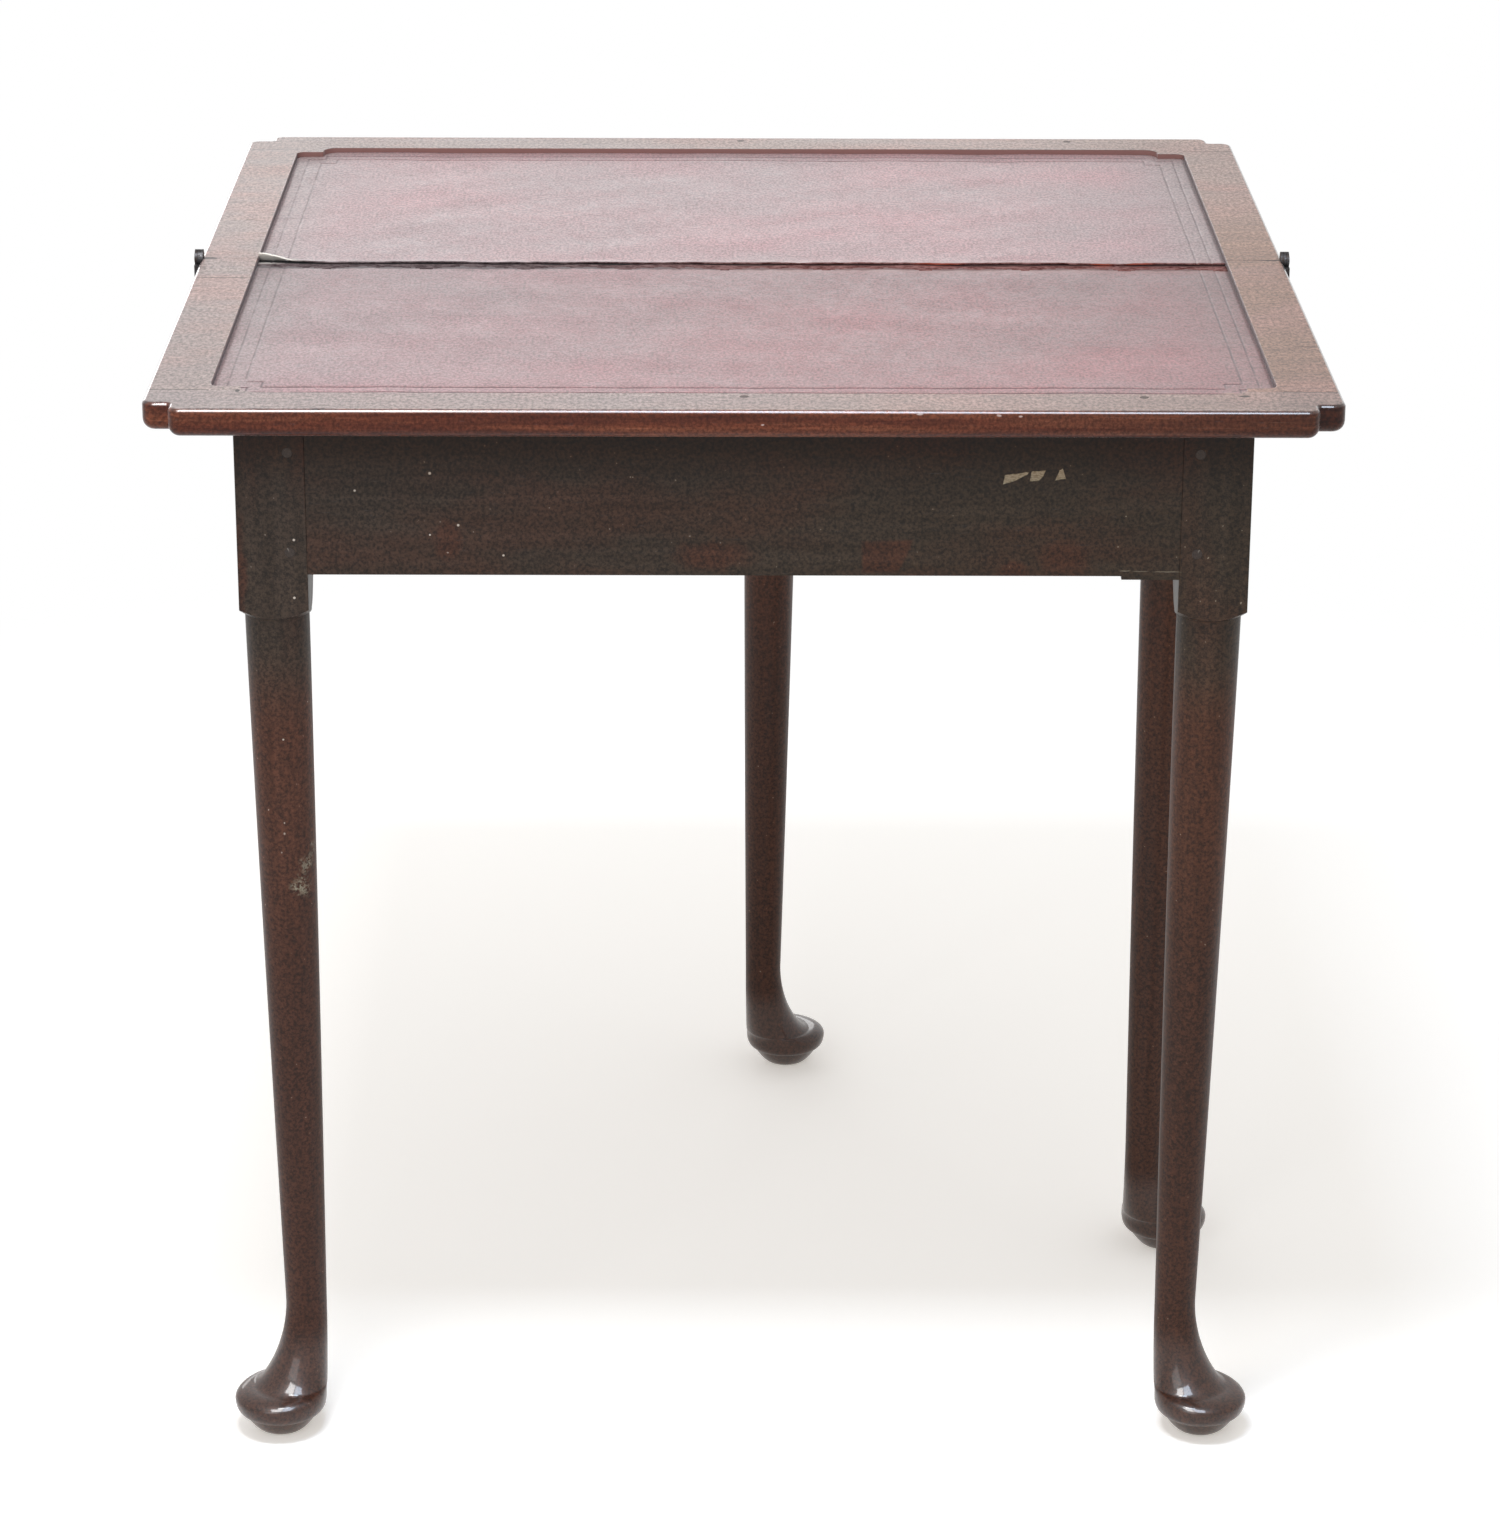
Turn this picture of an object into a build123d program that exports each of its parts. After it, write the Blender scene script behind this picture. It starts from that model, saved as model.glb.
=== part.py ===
from build123d import *
import os
from math import cos, pi, radians, sin, sqrt, tan

os.makedirs("parts", exist_ok=True)

# A fold-over games table, stored open: the far leaf lies flat on the leg that swings out
# behind. X runs along the table, -Y is the front, +Z is up, and the origin is on the
# floor below the middle of the fold. All sizes are in millimetres.

# The whole table
table_height = 737.0
top_width = 762.0
leaf_depth = 384.0
leaf_thickness = 19.0
end_overhang = 56.0
front_overhang = 29.0
back_margin = 49.0
apron_height = 99.5
leg_size = 45.0

# Clearances
fold_gap = 0.4
running_gap = 0.3
joint_play = 0.15
screw_play = 0.1
pin_play = 0.06
overrun = 2.0

# Outline and edge of a leaf; the rests are what the lobe and nose keep at the underside
corner_step_x = 18.0
corner_step_y = 15.0
top_round = 3.0
under_round = 7.0
step_radius = 2.0
lobe_rest = 1.5
nose_rest = 0.5
lobe_radius = under_round + lobe_rest
nose_radius = under_round + nose_rest
strip_width = 45.0

# Sunk playing surface and its leather
border_width = 40.0
recess_depth = 4.8
recess_step_x = 20.0
recess_step_y = 14.0
recess_lobe_radius = 7.0
recess_step_radius = 1.5
recess_step_flat = 1.5
recess_nose_radius = recess_step_y - recess_step_radius - recess_step_flat
recess_arris = 0.6
lining_thickness = 1.2
lining_gap = 0.3
torn_gap = 0.8

# Wood plugs in the borders
plug_radius = 2.8
plug_depth = 7.0
plug_pitch = 254.0
fixed_plug_from_field = 8.0
fixed_plug_inset = border_width - fixed_plug_from_field
folding_plug_inset = 12.0

# Side hinges
hinge_rise = 0.2
eye_radius = 6.0
eye_swing_gap = 0.4
layer_thickness = 1.8
layer_gap = 0.15
strap_length = 48.0
neck_reach = 2.0
joggle_clearance = 0.6
joggle_length = 3.5
hinge_pin_radius = 2.0
pin_head_radius = 3.2
pin_head_height = 0.5
hinge_screw_count = 3
screw_from_joggle = 5.9
screw_from_end = 8.0
hinge_screw_length = 15.0
hinge_screw_radius = 1.5
hinge_screw_head = 3.0

# Rails and their joints
rail_setback = 0.5
front_rail_thickness = 22.0
side_rail_thickness = 24.0
back_rail_thickness = 20.0
tenon_thickness = 8.0
mortise_wall = 3.5
tenon_shoulder = 12.0
stub_length = 6.0
peg_radius = 3.2
peg_length = 18.5
peg_from_shoulder = 11.0
low_peg_height = 15.0
high_peg_drop = 18.0
patch_length = 37.0
patch_rise = 4.5
patch_drop = 2.4

# Gate: a rail on a wooden knuckle joint, carrying the left rear leg
pivot_x = 22.0
open_angle = 92.5
knuckle_count = 5
gate_pin_radius = 2.5
cheek_thickness = 12.0

# Legs, turned on two centres
block_drop = 26.0
block_arris = 1.2
shoulder_rise = 7.0
shoulder_ledge = 0.8
shaft_inset = 1.6
ankle_radius = 14.75
ankle_height = 88.0
ankle_inset = 5.5
shaft_swell = 1.25
shaft_section_count = 4
pad_radius = 33.0
pad_height = 20.0
pad_offset = 12.0
flare_tail_share = 0.3
flare_start_share = 0.54
flare_full_share = 0.92
flare_section_count = 15
bead_height = 7.0
bead_inset = 1.5
shoe_radius = 28.8
shoe_height = 12.0
base_radius = 20.5

# Screws and blocks under the top
pocket_angle = 14.0
pocket_radius = 6.0
pocket_reach = 60.0
pocket_screw_depth = 22.0
pocket_screw_cover = 2.2
pocket_screw_radius = 2.2
pocket_screw_head = 4.4
side_screw_spread = 120.0
back_screw_length = 33.0
back_screw_from_pivot = 75.0
back_screw_from_leg = 33.0
back_screw_count = 3
glue_block_side = 16.0
glue_block_length = 60.0
glue_block_from_leg = 50.0
corner_block_side = 24.0
corner_block_margin = 10.0

# Levels and faces that follow from the sizes above
leaf_underside = table_height - leaf_thickness
apron_bottom = leaf_underside - apron_height
block_bottom = apron_bottom - block_drop
gate_top = leaf_underside - running_gap
hinge_axis_height = table_height + hinge_rise
fold_edge = fold_gap / 2
leaf_edge = fold_edge + leaf_depth
half_width = top_width / 2
half_frame = half_width - end_overhang
front_face = -leaf_edge + front_overhang
back_face = -fold_edge - back_margin
leg_inside_x = half_frame - leg_size
leg_back_y = front_face + leg_size
rear_leg_front_y = back_face - leg_size
front_rail_y = front_face + rail_setback + front_rail_thickness / 2
front_rail_inside = front_rail_y + front_rail_thickness / 2
side_rail_x = half_frame - rail_setback - side_rail_thickness / 2
side_rail_inside = side_rail_x - side_rail_thickness / 2
pivot_y = back_face - rail_setback - back_rail_thickness / 2
outer_rail_inside = pivot_y - back_rail_thickness / 2
inner_rail_y = outer_rail_inside - back_rail_thickness / 2
inner_rail_inside = inner_rail_y - back_rail_thickness / 2
barrel_radius = back_rail_thickness / 2 - running_gap
root_distance = (back_rail_thickness / 2 + running_gap) / tan(radians(90 - open_angle / 2))
shaft_top_radius = leg_size / 2 - shaft_inset
tenon_length = leg_size - rail_setback - side_rail_thickness / 2 - tenon_thickness / 2 - mortise_wall
tenon_low = apron_bottom + tenon_shoulder
tenon_high = leaf_underside - tenon_shoulder
peg_heights = (apron_bottom + low_peg_height, leaf_underside - high_peg_drop)


def save(name, shape):
    """Write one sub-part."""
    shape.label = name
    export_step(shape, f"parts/{name}.step")


def box(xa, xb, ya, yb, za, zb):
    """A box between two corners."""
    centre = Pos((xa + xb) / 2, (ya + yb) / 2, (za + zb) / 2)
    return centre * Box(abs(xb - xa), abs(yb - ya), abs(zb - za))


def rod(start, direction, radius, length):
    """A cylinder that starts at a point and runs along a direction."""
    plane = Plane(origin=start, z_dir=direction)
    return extrude(plane * Circle(radius), length)


def mirrored_x(shape):
    """The same piece on the other side of the table."""
    return mirror(shape, about=Plane.YZ)


def wood_screw(start, direction, length, radius, head_radius, head_height, play=0.0):
    """A countersunk screw from its head, or with play the hole that it sits in."""
    profile = make_face(Polyline(
        (0, -play),
        (head_radius + play, -play),
        (radius + play, head_height),
        (radius + play, length - head_height),
        (0, length + play),
        close=True,
    ))
    upright = revolve(Plane.XZ * profile, axis=Axis.Z)
    return Plane(origin=start, z_dir=direction).location * upright


# The two leaves of the top

def stepped_outline(half_length, fold_y, front_y, step_x, step_y, radii):
    """A sheet that is straight at the fold and has a rounded step in each front corner."""
    lobe_y = front_y + step_y
    nose_x = half_length - step_x
    lobe, step, nose = radii
    edge = FilletPolyline(
        (-half_length, fold_y),
        (-half_length, lobe_y),
        (-nose_x, lobe_y),
        (-nose_x, front_y),
        (nose_x, front_y),
        (nose_x, lobe_y),
        (half_length, lobe_y),
        (half_length, fold_y),
        radius=(lobe, step, nose, nose, step, lobe),
    )
    return make_face(edge.edges() + [Line((half_length, fold_y), (-half_length, fold_y)).edge()])


def leaf_board():
    """One leaf as a single board, front edge towards -Y, with rounded outer edges."""
    radii = (lobe_radius, step_radius, nose_radius)
    outline = stepped_outline(half_width, -fold_edge, -leaf_edge, corner_step_x, corner_step_y, radii)
    board = extrude(Plane.XY.offset(leaf_underside) * outline, leaf_thickness)
    for level, radius in ((0, under_round), (-1, top_round)):
        edges = board.edges().group_by(Axis.Z)[level]
        outer = [edge for edge in edges if edge.center().Y < -fold_gap]
        board = fillet(outer, radius)
    return board


def leaf_blank():
    """A leaf with its sunk field, ready for hinges and plugs."""
    board = leaf_board()
    radii = (recess_lobe_radius, recess_step_radius, recess_nose_radius)
    field = stepped_outline(
        half_width - border_width, overrun, -leaf_edge + border_width, recess_step_x, recess_step_y, radii
    )
    floor = Plane.XY.offset(table_height - recess_depth)
    board -= extrude(floor * field, recess_depth + overrun)
    # The arris round the field is worn, so it is broken all the way along
    within = half_width - top_round - border_width / 2
    top_edges = board.edges().group_by(Axis.Z)[-1]
    arris = [
        edge for edge in top_edges
        if max(abs(edge.center().X), abs(edge.center().Y)) < within and edge.center().Y < -fold_gap
    ]
    return fillet(arris, recess_arris)


def lining():
    """The leather of one leaf, laid in the sunk field and torn off short of the fold."""
    radii = (
        recess_lobe_radius - lining_gap,
        recess_step_radius + lining_gap,
        recess_nose_radius - lining_gap,
    )
    sheet = stepped_outline(
        half_width - border_width - lining_gap,
        -torn_gap,
        -leaf_edge + border_width + lining_gap,
        recess_step_x,
        recess_step_y,
        radii,
    )
    return extrude(Plane.XY.offset(table_height - recess_depth) * sheet, lining_thickness)


def plug_rods(inset, y_sign, play=0.0):
    """The two plugs in the border of a leaf, or with play their holes."""
    y = y_sign * (leaf_edge - inset)
    rods = []
    for x in (0, plug_pitch):
        start = (x, y, table_height - plug_depth - play)
        rods.append(rod(start, (0, 0, 1), plug_radius + play, plug_depth + play))
    return rods


# The side hinges, drawn on the right-hand end; layers are counted outwards from the wood

strap_top = table_height - top_round
strap_bottom = leaf_underside + under_round
strap_middle = (strap_top + strap_bottom) / 2
joggle_start = eye_radius + joggle_clearance
joggle_end = joggle_start + joggle_length
first_screw = joggle_end + screw_from_joggle
screw_pitch = (strap_length - screw_from_end - first_screw) / (hinge_screw_count - 1)
layer_inside = [half_width - layer_thickness]
for layer_number in range(2):
    layer_inside.append(half_width + layer_gap + layer_number * (layer_thickness + layer_gap))


def eye_disc(layer, radius=eye_radius):
    """The round eye of one layer."""
    start = (layer_inside[layer], 0, hinge_axis_height)
    return rod(start, (1, 0, 0), radius, layer_thickness)


def strap_plate(layer, near, far):
    """A flat stretch of strap in one layer, between two distances from the fold."""
    x = layer_inside[layer]
    return box(x, x + layer_thickness, near, far, strap_bottom, strap_top)


def pin_hole():
    """The bore for the hinge pin through all the layers."""
    start = (layer_inside[0] - overrun, 0, hinge_axis_height)
    return rod(start, (1, 0, 0), hinge_pin_radius + pin_play, 2 * overrun + half_width)


def hinge_screws(y_sign, play=0.0):
    """The screws of one strap, or with play their holes."""
    screws = []
    for number in range(hinge_screw_count):
        y = y_sign * (first_screw + number * screw_pitch)
        head = (half_width, y, strap_middle)
        screws.append(wood_screw(
            head, (-1, 0, 0), hinge_screw_length, hinge_screw_radius, hinge_screw_head, layer_thickness, play
        ))
    return screws


def fixed_strap():
    """The forked strap of the fixed leaf: eyes in the inner and outer layers."""
    outer_face = layer_inside[2] + layer_thickness
    strap = strap_plate(0, -strap_length, -neck_reach) + eye_disc(0)
    strap += strap_plate(2, -joggle_end, -neck_reach) + eye_disc(2)
    strap += box(layer_inside[0], outer_face, -joggle_end, -joggle_start, strap_bottom, strap_top)
    strap -= pin_hole()
    for hole in hinge_screws(-1, screw_play):
        strap -= hole
    return strap


def folding_strap():
    """The strap of the folding leaf: flush in the edge, then stepped out to the middle layer."""
    outer_face = layer_inside[1] + layer_thickness
    strap = strap_plate(0, joggle_start, strap_length)
    strap += strap_plate(1, neck_reach, joggle_end) + eye_disc(1)
    strap += box(layer_inside[0], outer_face, joggle_start, joggle_end, strap_bottom, strap_top)
    strap -= pin_hole()
    for hole in hinge_screws(1, screw_play):
        strap -= hole
    return strap


def hinge_pin():
    """The rivet through the three eyes, with a low head outside."""
    outer_face = layer_inside[2] + layer_thickness
    start = (layer_inside[0], 0, hinge_axis_height)
    shank = rod(start, (1, 0, 0), hinge_pin_radius, outer_face - layer_inside[0])
    head = rod((outer_face, 0, hinge_axis_height), (1, 0, 0), pin_head_radius, pin_head_height)
    return shank + head


def hinge_seat(y_sign):
    """What is cut out of the edge of a leaf for its strap, the eyes and the screws."""
    inside = layer_inside[0] - joint_play
    swing = rod(
        (inside, 0, hinge_axis_height), (1, 0, 0), eye_radius + eye_swing_gap, layer_thickness + overrun
    )
    near = y_sign * (neck_reach - joint_play)
    if y_sign > 0:
        near = joggle_start - joint_play
    trench = box(
        inside,
        half_width + overrun,
        near,
        y_sign * (strap_length + joint_play),
        strap_bottom - joint_play,
        strap_top + joint_play,
    )
    return [swing, trench] + hinge_screws(y_sign, screw_play)


def finished_leaf(y_sign, plug_inset):
    """A leaf with its hinge seats and plug holes, cut at the glue line of the edge strip."""
    leaf = leaf_blank()
    if y_sign > 0:
        leaf = mirror(leaf, about=Plane.XZ)
    for seat in hinge_seat(y_sign):
        leaf -= seat
        leaf -= mirrored_x(seat)
    for hole in plug_rods(plug_inset, y_sign, screw_play):
        leaf -= hole
    joint_y = y_sign * (leaf_edge - strip_width)
    reach = half_width + overrun
    below = leaf_underside - overrun
    above = table_height + overrun
    outside = box(-reach, reach, joint_y, y_sign * (leaf_edge + overrun), below, above)
    return leaf - outside, leaf & outside


# Legs

def circle_at(x, y, z, radius):
    """A round section of a leg."""
    return Plane(origin=(x, y, z)) * Circle(radius)


def flare_spread(share):
    """How far the foot has opened, from 0 at the ankle to 1 at the rim, for a share of its drop.

    A slow parabola carries one quick half wave, which makes the flat shoulder of the pad.
    """
    rise = (share - flare_start_share) / (flare_full_share - flare_start_share)
    wave = (1 - cos(pi * min(max(rise, 0), 1))) / 2
    return flare_tail_share * share ** 2 + (1 - flare_tail_share) * wave


def leg_blank(centre_x, centre_y, toe_x, toe_y):
    """A whole leg: square block, turned shoulder, tapering shaft and club foot."""
    half = leg_size / 2
    corner = half * sqrt(2)
    block = box(
        centre_x - half, centre_x + half, centre_y - half, centre_y + half, block_bottom, leaf_underside
    )
    block = fillet(block.edges().filter_by(Axis.Z), block_arris)
    turned = Pos(centre_x, centre_y, block_bottom + shoulder_rise / 2) * Cone(
        shaft_top_radius + shoulder_ledge, corner, shoulder_rise
    )
    above = Pos(centre_x, centre_y, (block_bottom + shoulder_rise + leaf_underside) / 2) * Cylinder(
        corner + overrun, leaf_underside - block_bottom - shoulder_rise
    )
    leg = block & (turned + above)
    # Below the rails the inner corner is pared away in a long slope down to the shaft
    inner_corner = box(
        centre_x, centre_x - toe_x * (half + overrun), centre_y, centre_y - toe_y * (half + overrun),
        block_bottom, apron_bottom,
    )
    kept = Pos(centre_x, centre_y, (block_bottom + apron_bottom) / 2) * Cone(
        shaft_top_radius + shoulder_ledge, corner, block_drop
    )
    leg -= inner_corner - kept

    ankle_x = centre_x - toe_x * ankle_inset
    ankle_y = centre_y - toe_y * ankle_inset
    shaft = []
    for number in range(shaft_section_count):
        share = number / (shaft_section_count - 1)
        taper = share ** shaft_swell
        shaft.append(circle_at(
            centre_x + (ankle_x - centre_x) * share,
            centre_y + (ankle_y - centre_y) * share,
            block_bottom + (ankle_height - block_bottom) * share,
            shaft_top_radius + (ankle_radius - shaft_top_radius) * taper,
        ))
    leg += loft(shaft)

    foot_x = centre_x + toe_x * pad_offset
    foot_y = centre_y + toe_y * pad_offset
    flare = []
    for number in range(flare_section_count):
        share = number / (flare_section_count - 1)
        spread = flare_spread(share)
        flare.append(circle_at(
            ankle_x + (foot_x - ankle_x) * spread,
            ankle_y + (foot_y - ankle_y) * spread,
            ankle_height + (pad_height - ankle_height) * share,
            ankle_radius + (pad_radius - ankle_radius) * spread,
        ))
    leg += loft(flare)
    return leg + Pos(foot_x, foot_y, 0) * pad()


def pad():
    """The pad under the flare: a rounded rim over a tapering shoe."""
    bead_top = (pad_radius, pad_height)
    bead_bottom = (pad_radius - bead_inset, pad_height - bead_height)
    rim = (
        Line((0, 0), (base_radius, 0))
        + Line((base_radius, 0), (shoe_radius, shoe_height))
        + Line((shoe_radius, shoe_height), bead_bottom)
        + TangentArc(bead_top, bead_bottom, tangent=(0, -1), tangent_from_first=True)
        + Line(bead_top, (0, pad_height))
        + Line((0, pad_height), (0, 0))
    )
    return revolve(Plane.XZ * make_face(rim.edges()), axis=Axis.Z)


# Tenons, as the boxes that rails and legs share

def tenon_x(shoulder_x, y, direction, length=tenon_length, play=0.0):
    """A tenon along X, from the shoulder into the leg, or with play its mortise."""
    return box(
        shoulder_x - direction * play,
        shoulder_x + direction * (length + play),
        y - tenon_thickness / 2 - play,
        y + tenon_thickness / 2 + play,
        tenon_low - play,
        tenon_high + play,
    )


def tenon_y(x, shoulder_y, direction, play=0.0):
    """A tenon along Y, from the shoulder into the leg, or with play its mortise."""
    return box(
        x - tenon_thickness / 2 - play,
        x + tenon_thickness / 2 + play,
        shoulder_y - direction * play,
        shoulder_y + direction * (tenon_length + play),
        tenon_low - play,
        tenon_high + play,
    )


def peg_pair(x, y, direction, play=0.0):
    """The two pegs of one tenon, driven in from the face of the leg, or their holes."""
    return [rod((x, y, z), direction, peg_radius + play, peg_length + play) for z in peg_heights]


front_peg_x = leg_inside_x + peg_from_shoulder
front_side_peg_y = leg_back_y - peg_from_shoulder
rear_side_peg_y = rear_leg_front_y + peg_from_shoulder
# Each entry holds a point on the face of a leg and the direction in which its pegs go
front_left_pegs = (((-front_peg_x, front_face), (0, 1, 0)), ((-half_frame, front_side_peg_y), (1, 0, 0)))
front_right_pegs = (((front_peg_x, front_face), (0, 1, 0)), ((half_frame, front_side_peg_y), (-1, 0, 0)))
rear_right_pegs = (((front_peg_x, back_face), (0, -1, 0)), ((half_frame, rear_side_peg_y), (-1, 0, 0)))
gate_leg_pegs = (((-front_peg_x, back_face), (0, -1, 0)),)


def pegs(places, play=0.0):
    """All the pegs of one leg, or their holes."""
    found = []
    for (x, y), direction in places:
        found += peg_pair(x, y, direction, play)
    return found


def bored(shape, holes):
    """A piece with holes taken out one after the other."""
    for hole in holes:
        shape -= hole
    return shape


leg_centre_x = half_frame - leg_size / 2
front_leg_y = front_face + leg_size / 2
rear_leg_y = back_face - leg_size / 2

front_left_leg = bored(leg_blank(-leg_centre_x, front_leg_y, -1, -1), [
    tenon_x(-leg_inside_x, front_rail_y, -1, play=joint_play),
    tenon_y(-side_rail_x, leg_back_y, -1, play=joint_play),
    *pegs(front_left_pegs, screw_play),
])
front_right_leg = bored(leg_blank(leg_centre_x, front_leg_y, 1, -1), [
    tenon_x(leg_inside_x, front_rail_y, 1, play=joint_play),
    tenon_y(side_rail_x, leg_back_y, -1, play=joint_play),
    *pegs(front_right_pegs, screw_play),
])
rear_right_leg = bored(leg_blank(leg_centre_x, rear_leg_y, 1, 1), [
    tenon_x(leg_inside_x, pivot_y, 1, play=joint_play),
    tenon_x(leg_inside_x, inner_rail_y, 1, play=joint_play),
    tenon_y(side_rail_x, rear_leg_front_y, 1, play=joint_play),
    *pegs(rear_right_pegs, screw_play),
])

# Rails of the fixed frame

front_rail = box(
    -leg_inside_x, leg_inside_x, front_rail_y - front_rail_thickness / 2, front_rail_inside,
    apron_bottom, leaf_underside,
)
front_rail += tenon_x(-leg_inside_x, front_rail_y, -1) + tenon_x(leg_inside_x, front_rail_y, 1)
front_rail = bored(front_rail, pegs(front_left_pegs[:1] + front_right_pegs[:1], screw_play))

# A repair let into the lower edge of the front rail beside the right leg, a little proud below
front_rail_patch = box(
    leg_inside_x - patch_length, leg_inside_x,
    front_rail_y - front_rail_thickness / 2, front_rail_inside,
    apron_bottom - patch_drop, apron_bottom + patch_rise,
)
front_rail -= front_rail_patch

right_rail = box(
    side_rail_inside, side_rail_x + side_rail_thickness / 2, leg_back_y, rear_leg_front_y,
    apron_bottom, leaf_underside,
)
right_rail += tenon_y(side_rail_x, leg_back_y, -1) + tenon_y(side_rail_x, rear_leg_front_y, 1)
right_rail = bored(right_rail, pegs(front_right_pegs[1:] + rear_right_pegs[1:], screw_play))

# The rear end of the left rail is thinned from outside, and the cheek of the gate leg covers it
left_rail_outside = -side_rail_x - side_rail_thickness / 2
cheek_inside = -half_frame + cheek_thickness
left_rail = box(
    -side_rail_inside, left_rail_outside, leg_back_y, outer_rail_inside, apron_bottom, leaf_underside
)
left_rail -= box(
    left_rail_outside - overrun,
    cheek_inside + running_gap,
    rear_leg_front_y - running_gap,
    outer_rail_inside + overrun,
    apron_bottom - overrun,
    leaf_underside + overrun,
)
left_rail += tenon_y(-side_rail_x, leg_back_y, -1)
left_rail -= tenon_x(-side_rail_inside, inner_rail_y, -1, stub_length, joint_play)
left_rail = bored(left_rail, pegs(front_left_pegs[1:], screw_play))

inner_back_rail = box(
    -side_rail_inside, leg_inside_x, inner_rail_inside, outer_rail_inside, apron_bottom, leaf_underside
)
inner_back_rail += tenon_x(-side_rail_inside, inner_rail_y, -1, stub_length)
inner_back_rail += tenon_x(leg_inside_x, inner_rail_y, 1)

# The swinging gate and its wooden knuckle joint, drawn closed along the back of the frame

knuckle_height = apron_height / knuckle_count


def finger(number, direction):
    """One knuckle: a round barrel with a neck that runs to the root of its own rail."""
    low = apron_bottom + number * knuckle_height
    high = low + knuckle_height
    if number > 0:
        low += running_gap / 2
    if number < knuckle_count - 1:
        high -= running_gap / 2
    barrel = Pos(pivot_x, pivot_y, (low + high) / 2) * Cylinder(barrel_radius, high - low)
    neck = box(
        pivot_x, pivot_x + direction * root_distance,
        pivot_y - barrel_radius, pivot_y + barrel_radius, low, high,
    )
    return barrel + neck


pin_bore = rod(
    (pivot_x, pivot_y, apron_bottom - overrun), (0, 0, 1),
    gate_pin_radius + pin_play, apron_height + 2 * overrun,
)

fixed_outer_rail = box(
    pivot_x + root_distance, leg_inside_x, outer_rail_inside, outer_rail_inside + back_rail_thickness,
    apron_bottom, leaf_underside,
)
for knuckle in range(0, knuckle_count, 2):
    fixed_outer_rail += finger(knuckle, 1)
fixed_outer_rail += tenon_x(leg_inside_x, pivot_y, 1)
fixed_outer_rail = bored(fixed_outer_rail, [pin_bore, *pegs(rear_right_pegs[:1], screw_play)])

gate_rail = box(
    -leg_inside_x, pivot_x - root_distance, pivot_y - barrel_radius, pivot_y + barrel_radius,
    apron_bottom, gate_top,
)
for knuckle in range(1, knuckle_count, 2):
    gate_rail += finger(knuckle, -1)
gate_rail += tenon_x(-leg_inside_x, pivot_y, -1)
gate_rail = bored(gate_rail, [pin_bore, *pegs(gate_leg_pegs, screw_play)])

# The gate leg is notched to close round the rear corner of the frame
gate_notch = box(
    cheek_inside,
    -leg_inside_x + overrun,
    rear_leg_front_y - overrun,
    pivot_y - barrel_radius,
    apron_bottom - running_gap,
    leaf_underside + overrun,
)
gate_headroom = box(
    -half_frame - overrun, -leg_inside_x + overrun, rear_leg_front_y - overrun, back_face + overrun,
    gate_top, leaf_underside + overrun,
)
gate_leg = bored(leg_blank(-leg_centre_x, rear_leg_y, -1, 1), [
    gate_notch,
    gate_headroom,
    tenon_x(-leg_inside_x, pivot_y, -1, play=joint_play),
    *pegs(gate_leg_pegs, screw_play),
])
gate_peg_solids = pegs(gate_leg_pegs)

gate_axis = Axis((pivot_x, pivot_y, 0), (0, 0, 1))


def swung_open(shape):
    """A piece of the gate turned from closed to the open place in which the table is stored."""
    return shape.rotate(gate_axis, -open_angle)


gate_pin = rod((pivot_x, pivot_y, apron_bottom), (0, 0, 1), gate_pin_radius, apron_height)

# Screws and glue blocks, hidden under the top

tilt = radians(pocket_angle)


def pocket_screw(x, y, out_x, out_y):
    """A slanting screw from a scooped pocket inside a rail up into the leaf, and its cuts."""
    direction = (out_x * sin(tilt), out_y * sin(tilt), cos(tilt))
    head = tuple(
        place - part * pocket_screw_depth for place, part in zip((x, y, leaf_underside), direction)
    )
    length = pocket_screw_depth + leaf_thickness - recess_depth - pocket_screw_cover
    sizes = (length, pocket_screw_radius, pocket_screw_head, pocket_screw_radius)
    scoop = rod(head, tuple(-part for part in direction), pocket_radius, pocket_reach)
    return wood_screw(head, direction, *sizes), [wood_screw(head, direction, *sizes, screw_play), scoop]


side_middle_y = (leg_back_y + rear_leg_front_y) / 2
outer_block_x = leg_inside_x - glue_block_from_leg - glue_block_length / 2
front_pockets = [pocket_screw(sign * outer_block_x / 2, front_rail_y, 0, -1) for sign in (-1, 1)]
back_pockets = [pocket_screw(sign * outer_block_x / 2, inner_rail_y, 0, 1) for sign in (-1, 1)]
left_pockets = [
    pocket_screw(-side_rail_x, side_middle_y + sign * side_screw_spread / 2, -1, 0) for sign in (-1, 1)
]
right_pockets = [
    pocket_screw(side_rail_x, side_middle_y + sign * side_screw_spread / 2, 1, 0) for sign in (-1, 1)
]
all_pockets = front_pockets + back_pockets + left_pockets + right_pockets

back_screw_y = inner_rail_inside
back_screw_z = (apron_bottom + leaf_underside) / 2
first_back_screw = pivot_x + back_screw_from_pivot
back_screw_pitch = (leg_inside_x - back_screw_from_leg - first_back_screw) / (back_screw_count - 1)
back_screw_x = [first_back_screw + number * back_screw_pitch for number in range(back_screw_count)]


def back_screws(play=0.0):
    """The screws that hold the fixed outer rail to the inner one, or their holes."""
    sizes = (back_screw_length, pocket_screw_radius, pocket_screw_head, pocket_screw_radius, play)
    return [wood_screw((x, back_screw_y, back_screw_z), (0, 1, 0), *sizes) for x in back_screw_x]


def pocket_cuts(pockets):
    """The holes and scoops of the pocket screws of one rail."""
    return [cut for screw, cuts in pockets for cut in cuts]


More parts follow.
